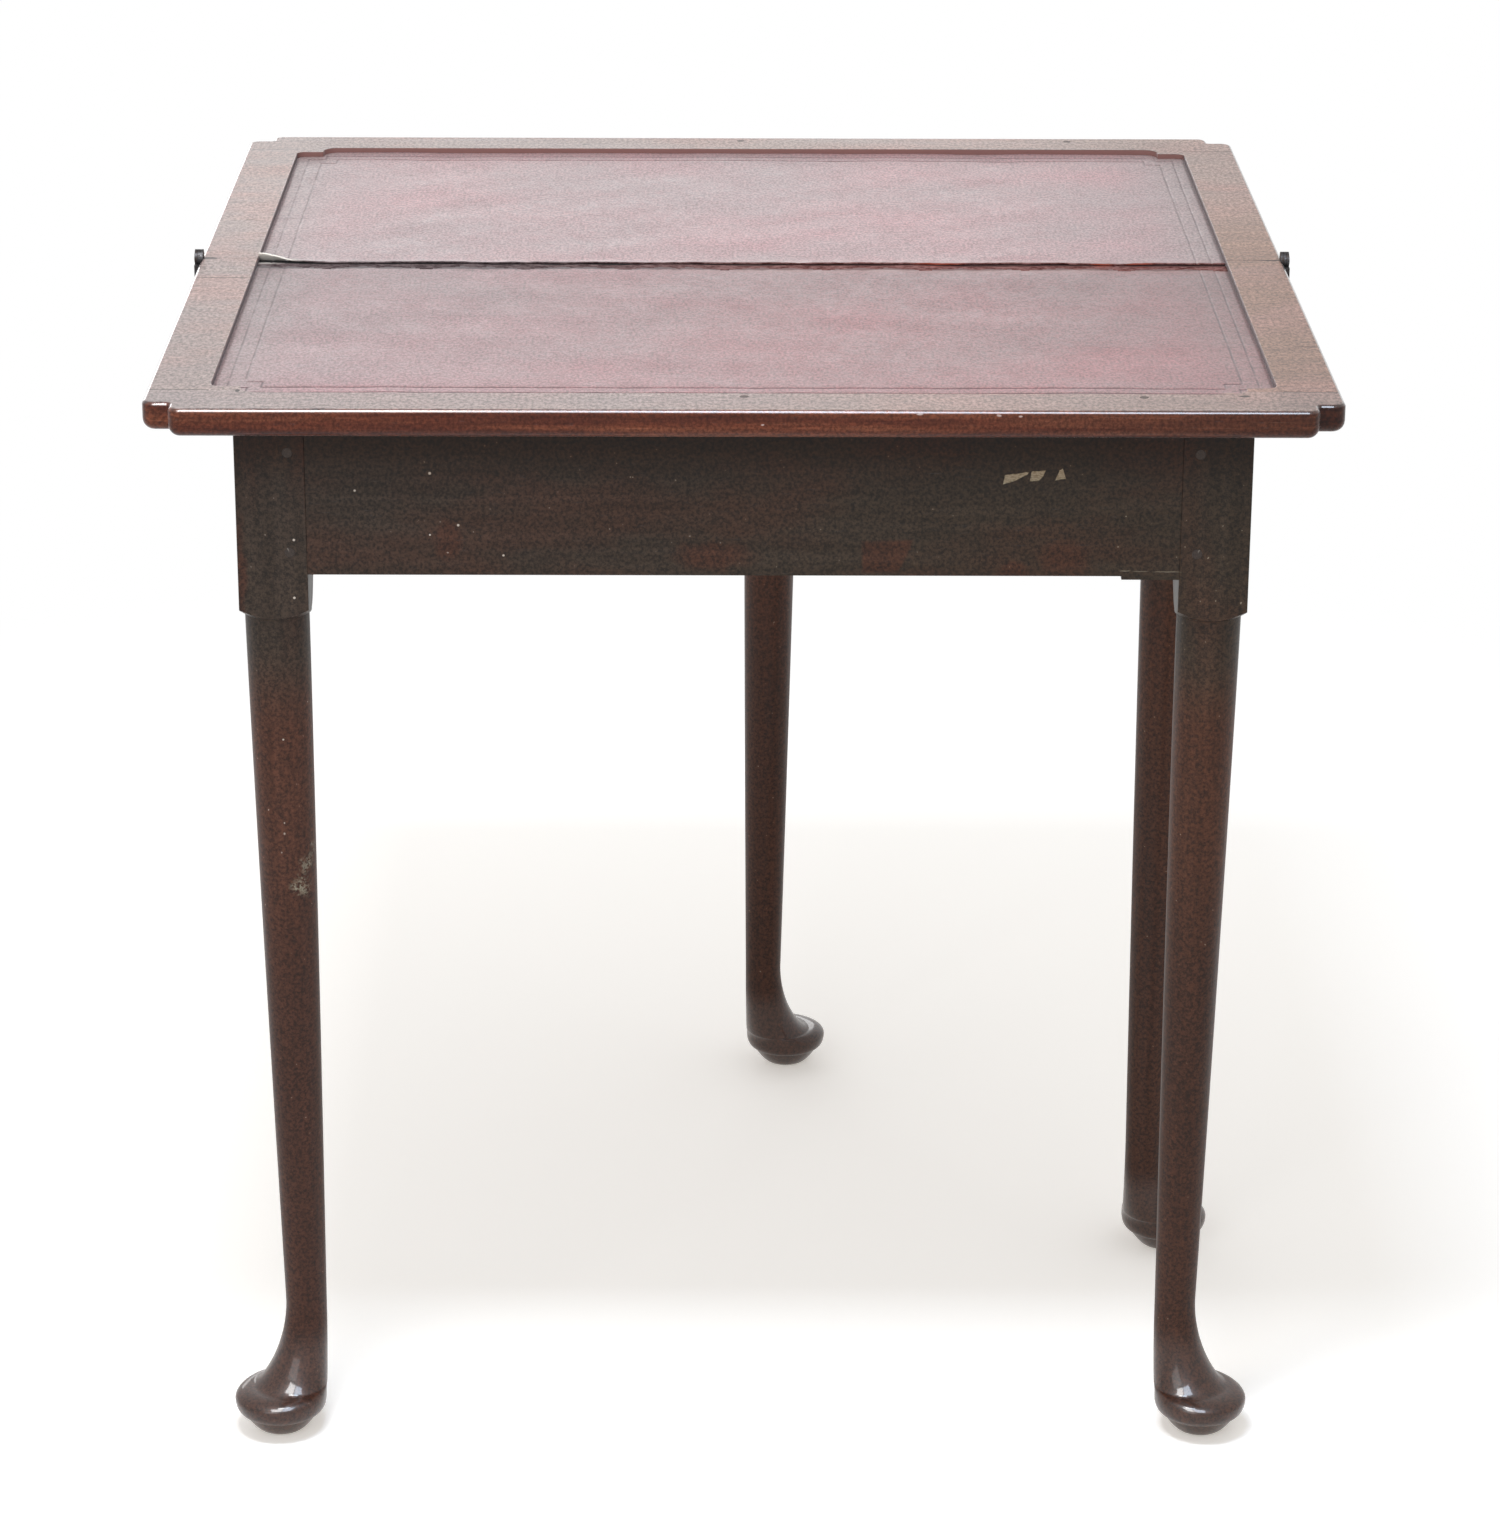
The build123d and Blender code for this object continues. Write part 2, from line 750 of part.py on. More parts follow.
front_rail = bored(front_rail, pocket_cuts(front_pockets))
left_rail = bored(left_rail, pocket_cuts(left_pockets))
right_rail = bored(right_rail, pocket_cuts(right_pockets))
inner_back_rail = bored(inner_back_rail, pocket_cuts(back_pockets) + back_screws(screw_play))
fixed_outer_rail = bored(fixed_outer_rail, back_screws(screw_play))


def three_sided(side, length):
    """A glue block with a right angle in the corner at its origin, running up along Z."""
    return extrude(make_face(Polyline((0, 0), (side, 0), (0, side), close=True)), length)


def under_leaf(x, y, turn):
    """A glue block in the angle between a rail and the leaf, turned to face its rail."""
    standing = Pos(0, 0, -glue_block_length / 2) * three_sided(glue_block_side, glue_block_length)
    return Pos(x, y, leaf_underside) * Rot(0, 0, turn) * Rot(0, 90, 0) * standing


glue_blocks = []
for place in (-outer_block_x, 0, outer_block_x):
    glue_blocks.append(under_leaf(place, front_rail_inside, 0))
    glue_blocks.append(under_leaf(place, inner_rail_inside, 180))
glue_blocks.append(under_leaf(-side_rail_inside, side_middle_y, -90))
glue_blocks.append(under_leaf(side_rail_inside, side_middle_y, 90))

corner_block = Pos(-side_rail_inside, inner_rail_inside, apron_bottom + corner_block_margin) * Rot(
    0, 0, -90
) * three_sided(corner_block_side, apron_height - 2 * corner_block_margin)

# Leaves, their hardware and the hidden screws that reach into the fixed leaf

fixed_leaf, fixed_strip = finished_leaf(-1, fixed_plug_inset)
folding_leaf, folding_strip = finished_leaf(1, folding_plug_inset)
for screw, (hole, scoop) in all_pockets:
    fixed_leaf -= hole
    fixed_strip -= hole

right_fixed_strap = fixed_strap()
right_folding_strap = folding_strap()
right_hinge_pin = hinge_pin()
near_screws = hinge_screws(-1)
far_screws = hinge_screws(1)
near_lining = lining()

nodes = {
    "fixed_leaf": fixed_leaf,
    "fixed_leaf_strip": fixed_strip,
    "fixed_leaf_plugs": Compound(children=plug_rods(fixed_plug_inset, -1)),
    "fixed_leaf_lining": near_lining,
    "folding_leaf": folding_leaf,
    "folding_leaf_strip": folding_strip,
    "folding_leaf_plugs": Compound(children=plug_rods(folding_plug_inset, 1)),
    "folding_leaf_lining": mirror(near_lining, about=Plane.XZ),
    "fixed_strap_right": right_fixed_strap,
    "fixed_strap_left": mirrored_x(right_fixed_strap),
    "folding_strap_right": right_folding_strap,
    "folding_strap_left": mirrored_x(right_folding_strap),
    "hinge_pin_right": right_hinge_pin,
    "hinge_pin_left": mirrored_x(right_hinge_pin),
    "fixed_strap_screws": Compound(children=near_screws + [mirrored_x(screw) for screw in near_screws]),
    "folding_strap_screws": Compound(children=far_screws + [mirrored_x(screw) for screw in far_screws]),
    "front_left_leg": front_left_leg,
    "front_right_leg": front_right_leg,
    "rear_right_leg": rear_right_leg,
    "gate_leg": swung_open(gate_leg),
    "front_rail": front_rail,
    "front_rail_patch": front_rail_patch,
    "left_rail": left_rail,
    "right_rail": right_rail,
    "inner_back_rail": inner_back_rail,
    "fixed_outer_rail": fixed_outer_rail,
    "gate_rail": swung_open(gate_rail),
    "gate_pin": gate_pin,
    "frame_pegs": Compound(children=pegs(front_left_pegs + front_right_pegs + rear_right_pegs)),
    "gate_pegs": Compound(children=[swung_open(peg) for peg in gate_peg_solids]),
    "pocket_screws": Compound(children=[screw for screw, cuts in all_pockets]),
    "back_rail_screws": Compound(children=back_screws()),
    "glue_blocks": Compound(children=glue_blocks),
    "corner_block": corner_block,
}
for name, shape in nodes.items():
    save(name, shape)
print(f"{len(nodes)} sub-parts written")
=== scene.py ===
# %% [markdown]
# # Dressing a fold-over games table
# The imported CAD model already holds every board, leg and hinge in its real place. This lesson adds
# what such a model can't hold: leather that is torn along the fold, the hollow sweep of the feet,
# finishes with their wear, plain soft light, and the camera of the photograph. Everything is in
# metres in the model's own frame.

# %% The frame, and its box before anything is added
import math

import bmesh
import bpy
import numpy as np
from mathutils import Matrix, Vector


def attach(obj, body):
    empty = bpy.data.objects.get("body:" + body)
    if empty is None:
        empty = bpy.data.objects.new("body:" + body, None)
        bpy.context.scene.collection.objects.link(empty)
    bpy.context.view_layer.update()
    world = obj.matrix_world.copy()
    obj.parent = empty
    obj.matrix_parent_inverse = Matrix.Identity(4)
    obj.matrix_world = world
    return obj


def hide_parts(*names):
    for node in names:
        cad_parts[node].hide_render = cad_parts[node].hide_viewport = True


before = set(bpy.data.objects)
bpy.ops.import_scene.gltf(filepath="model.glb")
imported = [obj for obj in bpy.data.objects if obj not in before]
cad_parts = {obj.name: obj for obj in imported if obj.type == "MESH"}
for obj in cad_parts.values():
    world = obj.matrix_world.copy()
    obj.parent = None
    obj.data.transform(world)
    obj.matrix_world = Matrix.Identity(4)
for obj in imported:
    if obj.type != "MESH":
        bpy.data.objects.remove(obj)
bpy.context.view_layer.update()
MM = 0.001

# %% [markdown]
# ## The camera
# A photograph fixes its camera through lines that are known to be level, square or upright. About
# sixty such points were fitted with a pinhole model, so the place, the tilt and the focal length are
# plain numbers here. The focal length was found in pixels of the photograph, and Blender wants it in
# millimetres on a 36 mm sensor along the longer side, so it is scaled by that side.

# %% Camera
PHOTO_HEIGHT = 1520
SENSOR = 36.0
focal_pixels = 4734.76
eye = Vector((-0.01396, -3.25045, 1.56192))
tilt_down, turn, roll = 0.3539, 0.0064, 0.0040

level_share = math.cos(tilt_down)
ahead = Vector((math.sin(turn) * level_share, math.cos(turn) * level_share, -math.sin(tilt_down)))
level_right = Vector((math.cos(turn), -math.sin(turn), 0))
level_up = level_right.cross(ahead)
right = math.cos(roll) * level_right + math.sin(roll) * level_up
up = math.cos(roll) * level_up - math.sin(roll) * level_right

lens = bpy.data.cameras.new("camera")
lens.sensor_width = SENSOR
lens.lens = focal_pixels / PHOTO_HEIGHT * SENSOR
lens.clip_start, lens.clip_end = 0.05, 200
camera = bpy.data.objects.new("camera", lens)
camera.matrix_world = Matrix.Translation(eye) @ Matrix((right, up, -ahead)).transposed().to_4x4()
bpy.context.scene.collection.objects.link(camera)
bpy.context.scene.camera = camera
bpy.context.scene.view_settings.view_transform = "Standard"
print("lens", round(lens.lens, 2), "mm, looking", round(math.degrees(tilt_down), 1), "degrees down")

# %% [markdown]
# ## Helpers for node trees
# A finish is a small network of nodes. Written out in full it would hide its own idea, so a few
# helpers carry the routine: one makes any node, and the others are named for what they do to a
# value, a colour or a pattern. All patterns are laid out in millimetres of the table, so every
# number can be checked with a ruler.

# %% One helper makes any node
def node(tree, kind, inputs=None, output=0, **settings):
    """Adds a shader node. inputs maps a socket to a number, a colour or another node's output."""
    made = tree.nodes.new("ShaderNode" + kind)
    for name, value in settings.items():
        setattr(made, name, value)
    for socket, value in (inputs or {}).items():
        if isinstance(value, bpy.types.NodeSocket):
            tree.links.new(value, made.inputs[socket])
        else:
            made.inputs[socket].default_value = value
    return made.outputs[output]


# %% Values that run from 0 to 1, and sums with them
def maths(tree, operation, first, second=0.0):
    """One step of arithmetic on two values."""
    return node(tree, "Math", {0: first, 1: second}, operation=operation)


def absolute(tree, value):
    """The value without its sign."""
    return maths(tree, "ABSOLUTE", value)


def product(tree, first, *others):
    """All the values multiplied. As shares from 0 to 1, they have to hold all at once."""
    for other in others:
        first = maths(tree, "MULTIPLY", first, other)
    return first


def largest(tree, first, *others):
    """The largest of the values. As shares from 0 to 1, one of them is enough."""
    for other in others:
        first = maths(tree, "MAXIMUM", first, other)
    return first


def ease(tree, value, low, high, bottom=0.0, top=1.0):
    """bottom before low, top after high, and an S curve between; low above high turns it round."""
    limits = {"Value": value, "From Min": low, "From Max": high, "To Min": bottom, "To Max": top}
    return node(tree, "MapRange", limits, interpolation_type="SMOOTHSTEP")


def between(tree, share, first, second):
    """The value first where share is 0, second where it is 1, and a mix of both between."""
    return node(tree, "Mix", {0: share, 2: first, 3: second}, data_type="FLOAT")


# %% Colours
def tint(tree, share, under, over, kind="MIX"):
    """The colour under, with over laid on it by share."""
    return node(tree, "Mix", {0: share, 6: under, 7: over}, output=2, data_type="RGBA", blend_type=kind)


def shaded(tree, colour, amount):
    """The colour made darker or lighter by an amount that may differ from place to place."""
    return node(tree, "VectorMath", {0: colour, "Scale": amount}, operation="SCALE")


def colours(tree, value, *stops):
    """A run of colours along a value from 0 to 1; a stop is (place, (red, green, blue))."""
    made = tree.nodes.new("ShaderNodeValToRGB")
    tree.links.new(value, made.inputs[0])
    ramp = made.color_ramp.elements
    while len(ramp) < len(stops):
        ramp.new(1)
    for element, (place, colour) in zip(ramp, stops):
        element.position = place
        element.color = (*colour, 1)
    return made.outputs[0]


# %% Patterns in millimetres
def place_in_mm(tree):
    """The point's place on the table in mm: its object coordinates, in metres, times 1000."""
    metres = node(tree, "TexCoord", output="Object")
    return node(tree, "VectorMath", {0: metres, "Scale": 1000.0}, operation="SCALE")


def parts_of(tree, vector):
    """The x, y and z of a vector."""
    split = node(tree, "SeparateXYZ", {0: vector}).node
    return split.outputs


def cloud(tree, place, size, detail=4.0, roughness=0.55, output=0):
    """Noise whose waves are size = (x, y, z) mm long: long with the grain, short across it."""
    shares = [1 / length for length in size]
    stretched = node(tree, "VectorMath", {0: place, 1: shares}, operation="MULTIPLY")
    waves = {"Vector": stretched, "Scale": 1.0, "Detail": detail, "Roughness": roughness}
    return node(tree, "TexNoise", waves, output=output)


def astray(tree, place, size, reach):
    """The place pushed about by up to reach mm, so that a line drawn on it wanders."""
    push = cloud(tree, place, (size, size, size), 2.0, output=1)
    centred = node(tree, "VectorMath", {0: push, 1: (0.5, 0.5, 0.5)}, operation="SUBTRACT")
    scaled = node(tree, "VectorMath", {0: centred, "Scale": 2.0 * reach}, operation="SCALE")
    return node(tree, "VectorMath", {0: place, 1: scaled}, operation="ADD")


def blot(tree, place, centre, radii, soft=0.3):
    """1 inside an ellipsoid at centre with radii in mm, 0 outside, blurred over a share soft."""
    away = node(tree, "VectorMath", {0: place, 1: centre}, operation="SUBTRACT")
    unit = node(tree, "VectorMath", {0: away, 1: radii}, operation="DIVIDE")
    reach = node(tree, "VectorMath", {0: unit}, output="Value", operation="LENGTH")
    return ease(tree, reach, 1 + soft, 1 - soft)


def blots(tree, place, marks, soft=0.3):
    """The strongest of several blots, given as (centre, radii)."""
    return largest(tree, *[blot(tree, place, centre, radii, soft) for centre, radii in marks])


# %% Marks on a flat and on a front
def lying(z, reach, *marks):
    """Blots from (x, y, half width, half depth) on a level face at z. They are 2 * reach high."""
    return tuple(((x, y, z), (wide, deep, reach)) for x, y, wide, deep in marks)


def standing(y, reach, *marks):
    """Blots from (x, z, half width, half height) on an upright face at y. They are 2 * reach deep."""
    return tuple(((x, y, z), (wide, reach, high)) for x, z, wide, high in marks)


# %% [markdown]
# ## What every finish shares
# Wood, leather and iron all end in one Principled shader. Its plain numbers, such as gloss and sheen,
# are set on its own sockets, because the exported model keeps them only there. Colour, roughness and
# bump come from the patterns.

# %% A finish
def new_finish(name, **plain):
    """A material with its Principled shader; plain numbers go straight on the shader's sockets."""
    material = bpy.data.materials.new(name)
    material.use_nodes = True
    shader = material.node_tree.nodes["Principled BSDF"]
    for socket, value in plain.items():
        shader.inputs[socket.replace("_", " ")].default_value = value
    return material, material.node_tree, shader


def dress(tree, shader, colour, roughness, height, depth):
    """Links a pattern's colour, its roughness, and its height as a bump of depth mm."""
    bump = {"Height": height, "Strength": 1.0, "Distance": depth * MM}
    tree.links.new(colour, shader.inputs["Base Color"])
    tree.links.new(roughness, shader.inputs["Roughness"])
    tree.links.new(node(tree, "Bump", bump), shader.inputs["Normal"])


# %% [markdown]
# ## The top's mahogany
# On the real table the edges are still red-brown and polished, while the flat top has been washed and
# sunned until it is pale and a little dusty. One material does both, because it is one piece of wood:
# it asks which way the surface faces in the piece's own coordinates. Painted sheen makes the flat top
# grey towards the left and greyer and lighter on the far leaf. The side borders are darker towards the
# front with painted shade and lighter towards the back with painted sheen, and the polished edge is
# darker towards the right with painted shade. The sunk field is darker: its walls are red-brown, with
# painted shade on the side walls, and its floor shows through the tear in the leather, nearly black at
# the left, which is painted shadow, and rust-red at the right.
# Long thin noise is the grain, and short thin noise the open pores. Marks that belong to one place,
# such as a crack across the left border, are blots at that place. The rounded arris round the top
# has a thin coat of polish, which draws the bright line along the front.

# %% Values for the top, in mm
TABLE_HEIGHT = 737.0
RECESS_FLOOR = 732.2
GLUE_LINE = 339.2
FIELD_HALF_WIDTH = 341.0
FIELD_END = 344.2
cracks = lying(
    TABLE_HEIGHT, 3,
    (-361, -55, 22, 0.7), (-374, -78, 9, 0.45), (374, -230, 8, 0.8), (-373, 166, 7, 0.8),
    (-356, 112, 5, 0.6),
)
hinge_gaps = lying(735, 8, (-377, 0, 9, 2.2), (374, 0, 13, 1.3))
border_nicks = lying(TABLE_HEIGHT, 3, (-323, -341, 1.6, 3.2), (318, -349, 4, 1.6), (-120, 360, 3, 1.5))
arris_nick = lying(735.5, 1.8, (-268, -382, 7, 1.6))
pale_nicks = standing(
    -384, 1.4,
    (110, 734.5, 2.0, 0.6), (160, 734.2, 1.4, 0.6), (174, 733.8, 1.2, 0.6), (12, 728, 1.0, 0.5),
)

# %% Where the top changes, from and to in mm
# Painted shade: the polished edge darker towards the right.
EDGE_SHADE_X = (60, 420)
# Painted sheen: the flat top grey towards the left.
SHEEN_GREY_TO_TAN_X = (-420, 300)
STRIP_FADES_X = (-120, 120)
# Painted sheen: the far leaf greyer and lighter.
FAR_SHEEN_GREYER_Y, FAR_SHEEN_LIGHTER_Y = (20, 240), (-20, 160)
# Painted shade towards the front and painted sheen towards the back of the side borders.
RIGHT_BORDER_X, RIGHT_SHADING_Y = (330, 350), (-380, 330)
LEFT_BORDER_X, LEFT_SHADING_Y = (-330, -350), (-380, 200)
FAR_WALL_Y = (322, 330)
# Painted shadow on the sunk floor at the left, turning to rust-red at the right.
SHADOW_TO_RUST_X = (-110, 90)

# %% Colours of the top
POLISHED_RED = ((0.32, (0.040, 0.008, 0.005)), (0.50, (0.098, 0.024, 0.011)), (0.68, (0.175, 0.055, 0.026)))
WASHED_GREY_AND_SHEEN = ((0.30, (0.200, 0.150, 0.140)), (0.50, (0.245, 0.190, 0.175)), (0.72, (0.300, 0.235, 0.215)))
WASHED_TAN = ((0.30, (0.200, 0.115, 0.080)), (0.50, (0.250, 0.148, 0.108)), (0.72, (0.310, 0.195, 0.145)))
BLUSH = (0.33, 0.185, 0.155, 1)
OPEN_PORE = (0.04, 0.018, 0.013, 1)
OPEN_CRACK = (0.022, 0.012, 0.010, 1)
FRESH_NICK = (0.62, 0.50, 0.45, 1)
# Painted shade on the sunk field's side walls.
SHADED_SIDE_WALL = (0.100, 0.045, 0.040, 1)
FAR_WALL = (0.22, 0.105, 0.092, 1)
# Painted shadow on the sunk floor at the left.
FLOOR_SHADOW = (0.010, 0.007, 0.007, 1)
FLOOR_RUST = (0.075, 0.018, 0.014, 1)


# %% The flat top
def washed_top_and_sheen(tree, place, grain):
    """Grey at the left and tan at the right, greyer on the glued strip, greyer and lighter on the far leaf,
    with blushes. The grey at the left and the far leaf's grey and lightness are painted sheen.
    """
    x, y, _ = parts_of(tree, place)
    grey = colours(tree, grain, *WASHED_GREY_AND_SHEEN)
    pale = tint(tree, ease(tree, x, *SHEEN_GREY_TO_TAN_X, 0.1, 1.0), grey, colours(tree, grain, *WASHED_TAN))
    on_strip = maths(tree, "LESS_THAN", y, -GLUE_LINE)
    strip = product(tree, on_strip, ease(tree, x, *STRIP_FADES_X, 1.0, 0.6))
    greyer = largest(tree, strip, ease(tree, y, *FAR_SHEEN_GREYER_Y, 0.0, 0.6))
    pale = shaded(tree, tint(tree, greyer, pale, grey), ease(tree, y, *FAR_SHEEN_LIGHTER_Y, 1.0, 1.14))
    figure = cloud(tree, place, (95, 60, 60), 4.0, 0.55)
    off_strip = maths(tree, "SUBTRACT", 1.0, product(tree, strip, 0.7))
    blush = product(tree, ease(tree, figure, 0.42, 0.70, 0.0, 0.6), off_strip)
    return tint(tree, blush, pale, BLUSH)


def shaded_borders(tree, place, flat, colour):
    """The two side borders made darker towards the front and lighter towards the back: painted shade at
    the front and painted sheen at the back.
    """
    x, y, _ = parts_of(tree, place)
    right_border = product(tree, ease(tree, x, *RIGHT_BORDER_X), flat)
    shade = between(tree, right_border, 1.0, ease(tree, y, *RIGHT_SHADING_Y, 0.86, 1.12))
    colour = shaded(tree, colour, shade)
    left_border = product(tree, ease(tree, x, *LEFT_BORDER_X), flat)
    shade = between(tree, left_border, 1.0, ease(tree, y, *LEFT_SHADING_Y, 0.93, 1.09))
    return shaded(tree, colour, shade)


# %% The sunk field
def sunk_field_colours(tree, place, flat, colour):
    """Red-brown walls, with painted shade on the side walls, and a floor that runs from nearly black
    painted shadow at the left to rust-red at the right.

    Gives the colour, and 1 in the sunk field and 0 outside it."""
    x, y, z = parts_of(tree, place)
    below_top = ease(tree, z, TABLE_HEIGHT - 0.02, TABLE_HEIGHT - 0.5)
    within_width = maths(tree, "LESS_THAN", absolute(tree, x), FIELD_HALF_WIDTH + 1)
    within_depth = maths(tree, "LESS_THAN", absolute(tree, y), FIELD_END + 1)
    above_floor = maths(tree, "GREATER_THAN", z, RECESS_FLOOR - 0.3)
    sunk = product(tree, below_top, within_width, within_depth, above_floor)
    wall = tint(tree, ease(tree, y, *FAR_WALL_Y), SHADED_SIDE_WALL, FAR_WALL)
    blotchy = maths(tree, "ADD", x, cloud(tree, place, (60, 12, 12), 3.0))
    floor_colour = tint(tree, ease(tree, blotchy, *SHADOW_TO_RUST_X), FLOOR_SHADOW, FLOOR_RUST)
    return tint(tree, sunk, colour, tint(tree, flat, wall, floor_colour)), sunk


# %% Marks and the polished arris
def marks_of_the_top(tree, place, colour):
    """Glue lines across the side borders, cracks, nicks, and dark gaps at the hinges.

    Gives the colour, and how open the glue lines and cracks are, for the bump."""
    wandering = astray(tree, place, 14, 1.3)
    x, y, _ = parts_of(tree, astray(tree, place, 60, 0.25))
    from_glue = absolute(tree, maths(tree, "SUBTRACT", absolute(tree, y), GLUE_LINE))
    on_border = maths(tree, "GREATER_THAN", absolute(tree, x), FIELD_HALF_WIDTH)
    glue = product(tree, ease(tree, from_glue, 1.0, 0.35, 0.0, 0.8), on_border)
    lines = largest(tree, blots(tree, wandering, cracks), glue)
    dark = largest(tree, lines, blots(tree, wandering, border_nicks + arris_nick + hinge_gaps))
    colour = tint(tree, dark, colour, OPEN_CRACK)
    pale = product(tree, blots(tree, wandering, pale_nicks), 0.7)
    return tint(tree, pale, colour, FRESH_NICK), lines


def polished_arris(tree, place, facing_up):
    """1 on the rounded arris round the outside of the top, where hands have polished the wood."""
    x, y, _ = parts_of(tree, place)
    outermost = largest(tree, absolute(tree, x), maths(tree, "SUBTRACT", absolute(tree, y), 3.0))
    outside = maths(tree, "GREATER_THAN", outermost, FIELD_HALF_WIDTH + 5)
    return product(tree, ease(tree, facing_up, 0.2, 0.6), ease(tree, facing_up, 0.99, 0.93), outside)


# %% Top mahogany
def mahogany_of_the_top():
    """Pale dusty wood where it faces up, polished red-brown elsewhere, dark in the sunk field."""
    material, tree, shader = new_finish(
        "mahogany_top", Specular_IOR_Level=0.2, Coat_Roughness=0.19, Sheen_Weight=0.15, Sheen_Roughness=0.4
    )
    place = place_in_mm(tree)
    facing_up = parts_of(tree, node(tree, "TexCoord", output="Normal"))[2]
    flat = ease(tree, facing_up, 0.86, 0.985)
    grain = cloud(tree, place, (240, 9, 9), 6.0, 0.6)
    pores = cloud(tree, place, (7, 0.7, 0.7), 2.0)
    streaks = cloud(tree, place, (26, 2.2, 2.2), 3.0, 0.7)
    flecks = cloud(tree, place, (2.4, 4.0, 2.4), 2.0, 0.7)
    x = parts_of(tree, place)[0]
    # Painted shade: the polished edge darker towards the right.
    red = shaded(tree, colours(tree, grain, *POLISHED_RED), ease(tree, x, *EDGE_SHADE_X, 1.0, 0.42))
    colour = tint(tree, flat, red, washed_top_and_sheen(tree, place, grain))
    fine = product(tree, ease(tree, streaks, 0.3, 0.7, 0.86, 1.14), ease(tree, flecks, 0.3, 0.7, 0.58, 1.42))
    pits = ease(tree, pores, 0.34, 0.26, 0.0, 0.5)
    colour = tint(tree, pits, shaded(tree, colour, fine), OPEN_PORE)
    colour = shaded_borders(tree, place, flat, colour)
    colour, sunk = sunk_field_colours(tree, place, flat, colour)
    colour, gaps = marks_of_the_top(tree, place, colour)
    polished = ease(tree, grain, 0.2, 0.8, 0.16, 0.30)
    dusty = ease(tree, grain, 0.2, 0.8, 0.36, 0.50)
    roughness = largest(tree, between(tree, flat, polished, dusty), product(tree, sunk, 0.8))
    height = maths(tree, "SUBTRACT", product(tree, grain, 0.4), maths(tree, "ADD", pits, gaps))
    tree.links.new(polished_arris(tree, place, facing_up), shader.inputs["Coat Weight"])
    dress(tree, shader, colour, roughness, height, 0.12)
    return material


top_wood = mahogany_of_the_top()
print("top mahogany:", len(top_wood.node_tree.nodes), "nodes")

# %% [markdown]
# ## The frame's mahogany
# Rails and legs are the same wood, almost black with age and wax, with red showing through where it
# has been rubbed. The grain runs along each piece, so the material is made once for each direction.
# The legs and rails are seen closer to straight on than the top, so their gloss is kept low, and only
# the feet keep a fuller polish, through a coat that comes in between 75 and 50 mm above the floor.
# Three pale chips under the top have straight broken sides, so they are drawn as outlines, and the
# small round specks and scuffs are blots.

# %% Marks on the frame, in mm
FRONT_FACE = -355
LEG_FACE = -362
chip_outlines = (
    ((166.6, 686.1), (181.5, 688.1), (181.0, 686.6), (173.3, 682.4), (165.4, 679.9)),
    ((183.7, 688.4), (192.5, 689.3), (190.8, 685.4), (188.3, 682.4), (182.6, 682.0)),
    ((201.3, 689.3), (203.4, 690.7), (205.4, 683.8), (198.8, 682.6)),
)
red_outline = ((76.0, 641.4), (108.0, 642.6), (107.0, 636.8), (99.5, 620.6), (76.2, 620.5))
red_patches = standing(
    FRONT_FACE, 10,
    (-189, 641, 9, 16), (173, 622, 12, 6), (206, 631, 18, 13), (-20, 632, 22, 9),
) + standing(-352, 14, (-324, 622, 4, 34))
let_in_scratches = standing(
    FRONT_FACE, 6, (245, 622.0, 3.4, 0.45), (255, 621.8, 5.0, 0.3), (272, 621.5, 9, 0.4)
)
white_specks = standing(
    FRONT_FACE, 6,
    (-200.4, 686.5, 0.9, 0.9), (-248.5, 674.9, 0.7, 0.7), (-182.8, 651.9, 0.8, 0.8),
    (-201.0, 645.4, 0.6, 0.6), (-154.1, 631.7, 0.7, 0.7), (-288.2, 641.9, 0.8, 0.8),
    (-289.0, 602.9, 0.8, 0.8),
)
leg_specks = standing(
    LEG_FACE, 12,
    (-299.4, 504.6, 0.9, 0.9), (-300.7, 438.4, 1.0, 1.3), (-300.5, 446, 0.7, 1.0),
    (-303, 425, 0.8, 1.0), (-297.5, 169.5, 0.9, 0.9), (-298.7, 80.8, 0.8, 0.8),
)
scuffs = (((-288, -358, 401), (9, 14, 10)), ((-284, -356, 415), (7, 14, 9)), ((-281, -352, 424), (5, 14, 7)))

# %% How the frame's grain runs, and where its colour changes, from and to in mm
grain_lengths = {"along_x": (170, 6, 6), "along_y": (6, 170, 6), "along_z": (7, 7, 190)}
RED_LEG_Z = (575, 505)
LEG_LIGHTER_Z, LEG_DARKER_Z = (575, 540), (480, 300)
# Painted shade under the top: darker, and browner.
SHADE_UNDER_TOP_Z, SHADE_UNDER_TOP_BROWN_Z = (655, 716), (675, 710)
WARM_SIDE_X = (-250, 200)
FOOT_POLISH_Z = (75, 50)
SOLE_Z = (5.5, 1.5)

# %% Colours of the frame
WAXED_DARK = ((0.25, (0.028, 0.0180, 0.0125)), (0.50, (0.035, 0.0225, 0.0155)), (0.78, (0.046, 0.030, 0.021)))
RUBBED_RED = ((0.25, (0.045, 0.014, 0.007)), (0.78, (0.078, 0.026, 0.014)))
BROKEN_WOOD = ((0.35, (0.26, 0.20, 0.14)), (0.60, (0.47, 0.41, 0.34)))
WAXED_PORE = (0.009, 0.005, 0.004, 1)
SCRATCH = (0.24, 0.20, 0.17, 1)
SCUFF = (0.30, 0.27, 0.20, 1)
SPECK = (0.55, 0.48, 0.42, 1)
BARE_SOLE = (0.085, 0.042, 0.024, 1)
WARM_FILTER = (0.89, 0.87, 0.74, 1)
# Painted shade: browner under the top.
SHADE_BROWN_FILTER = (0.95, 0.62, 0.38, 1)


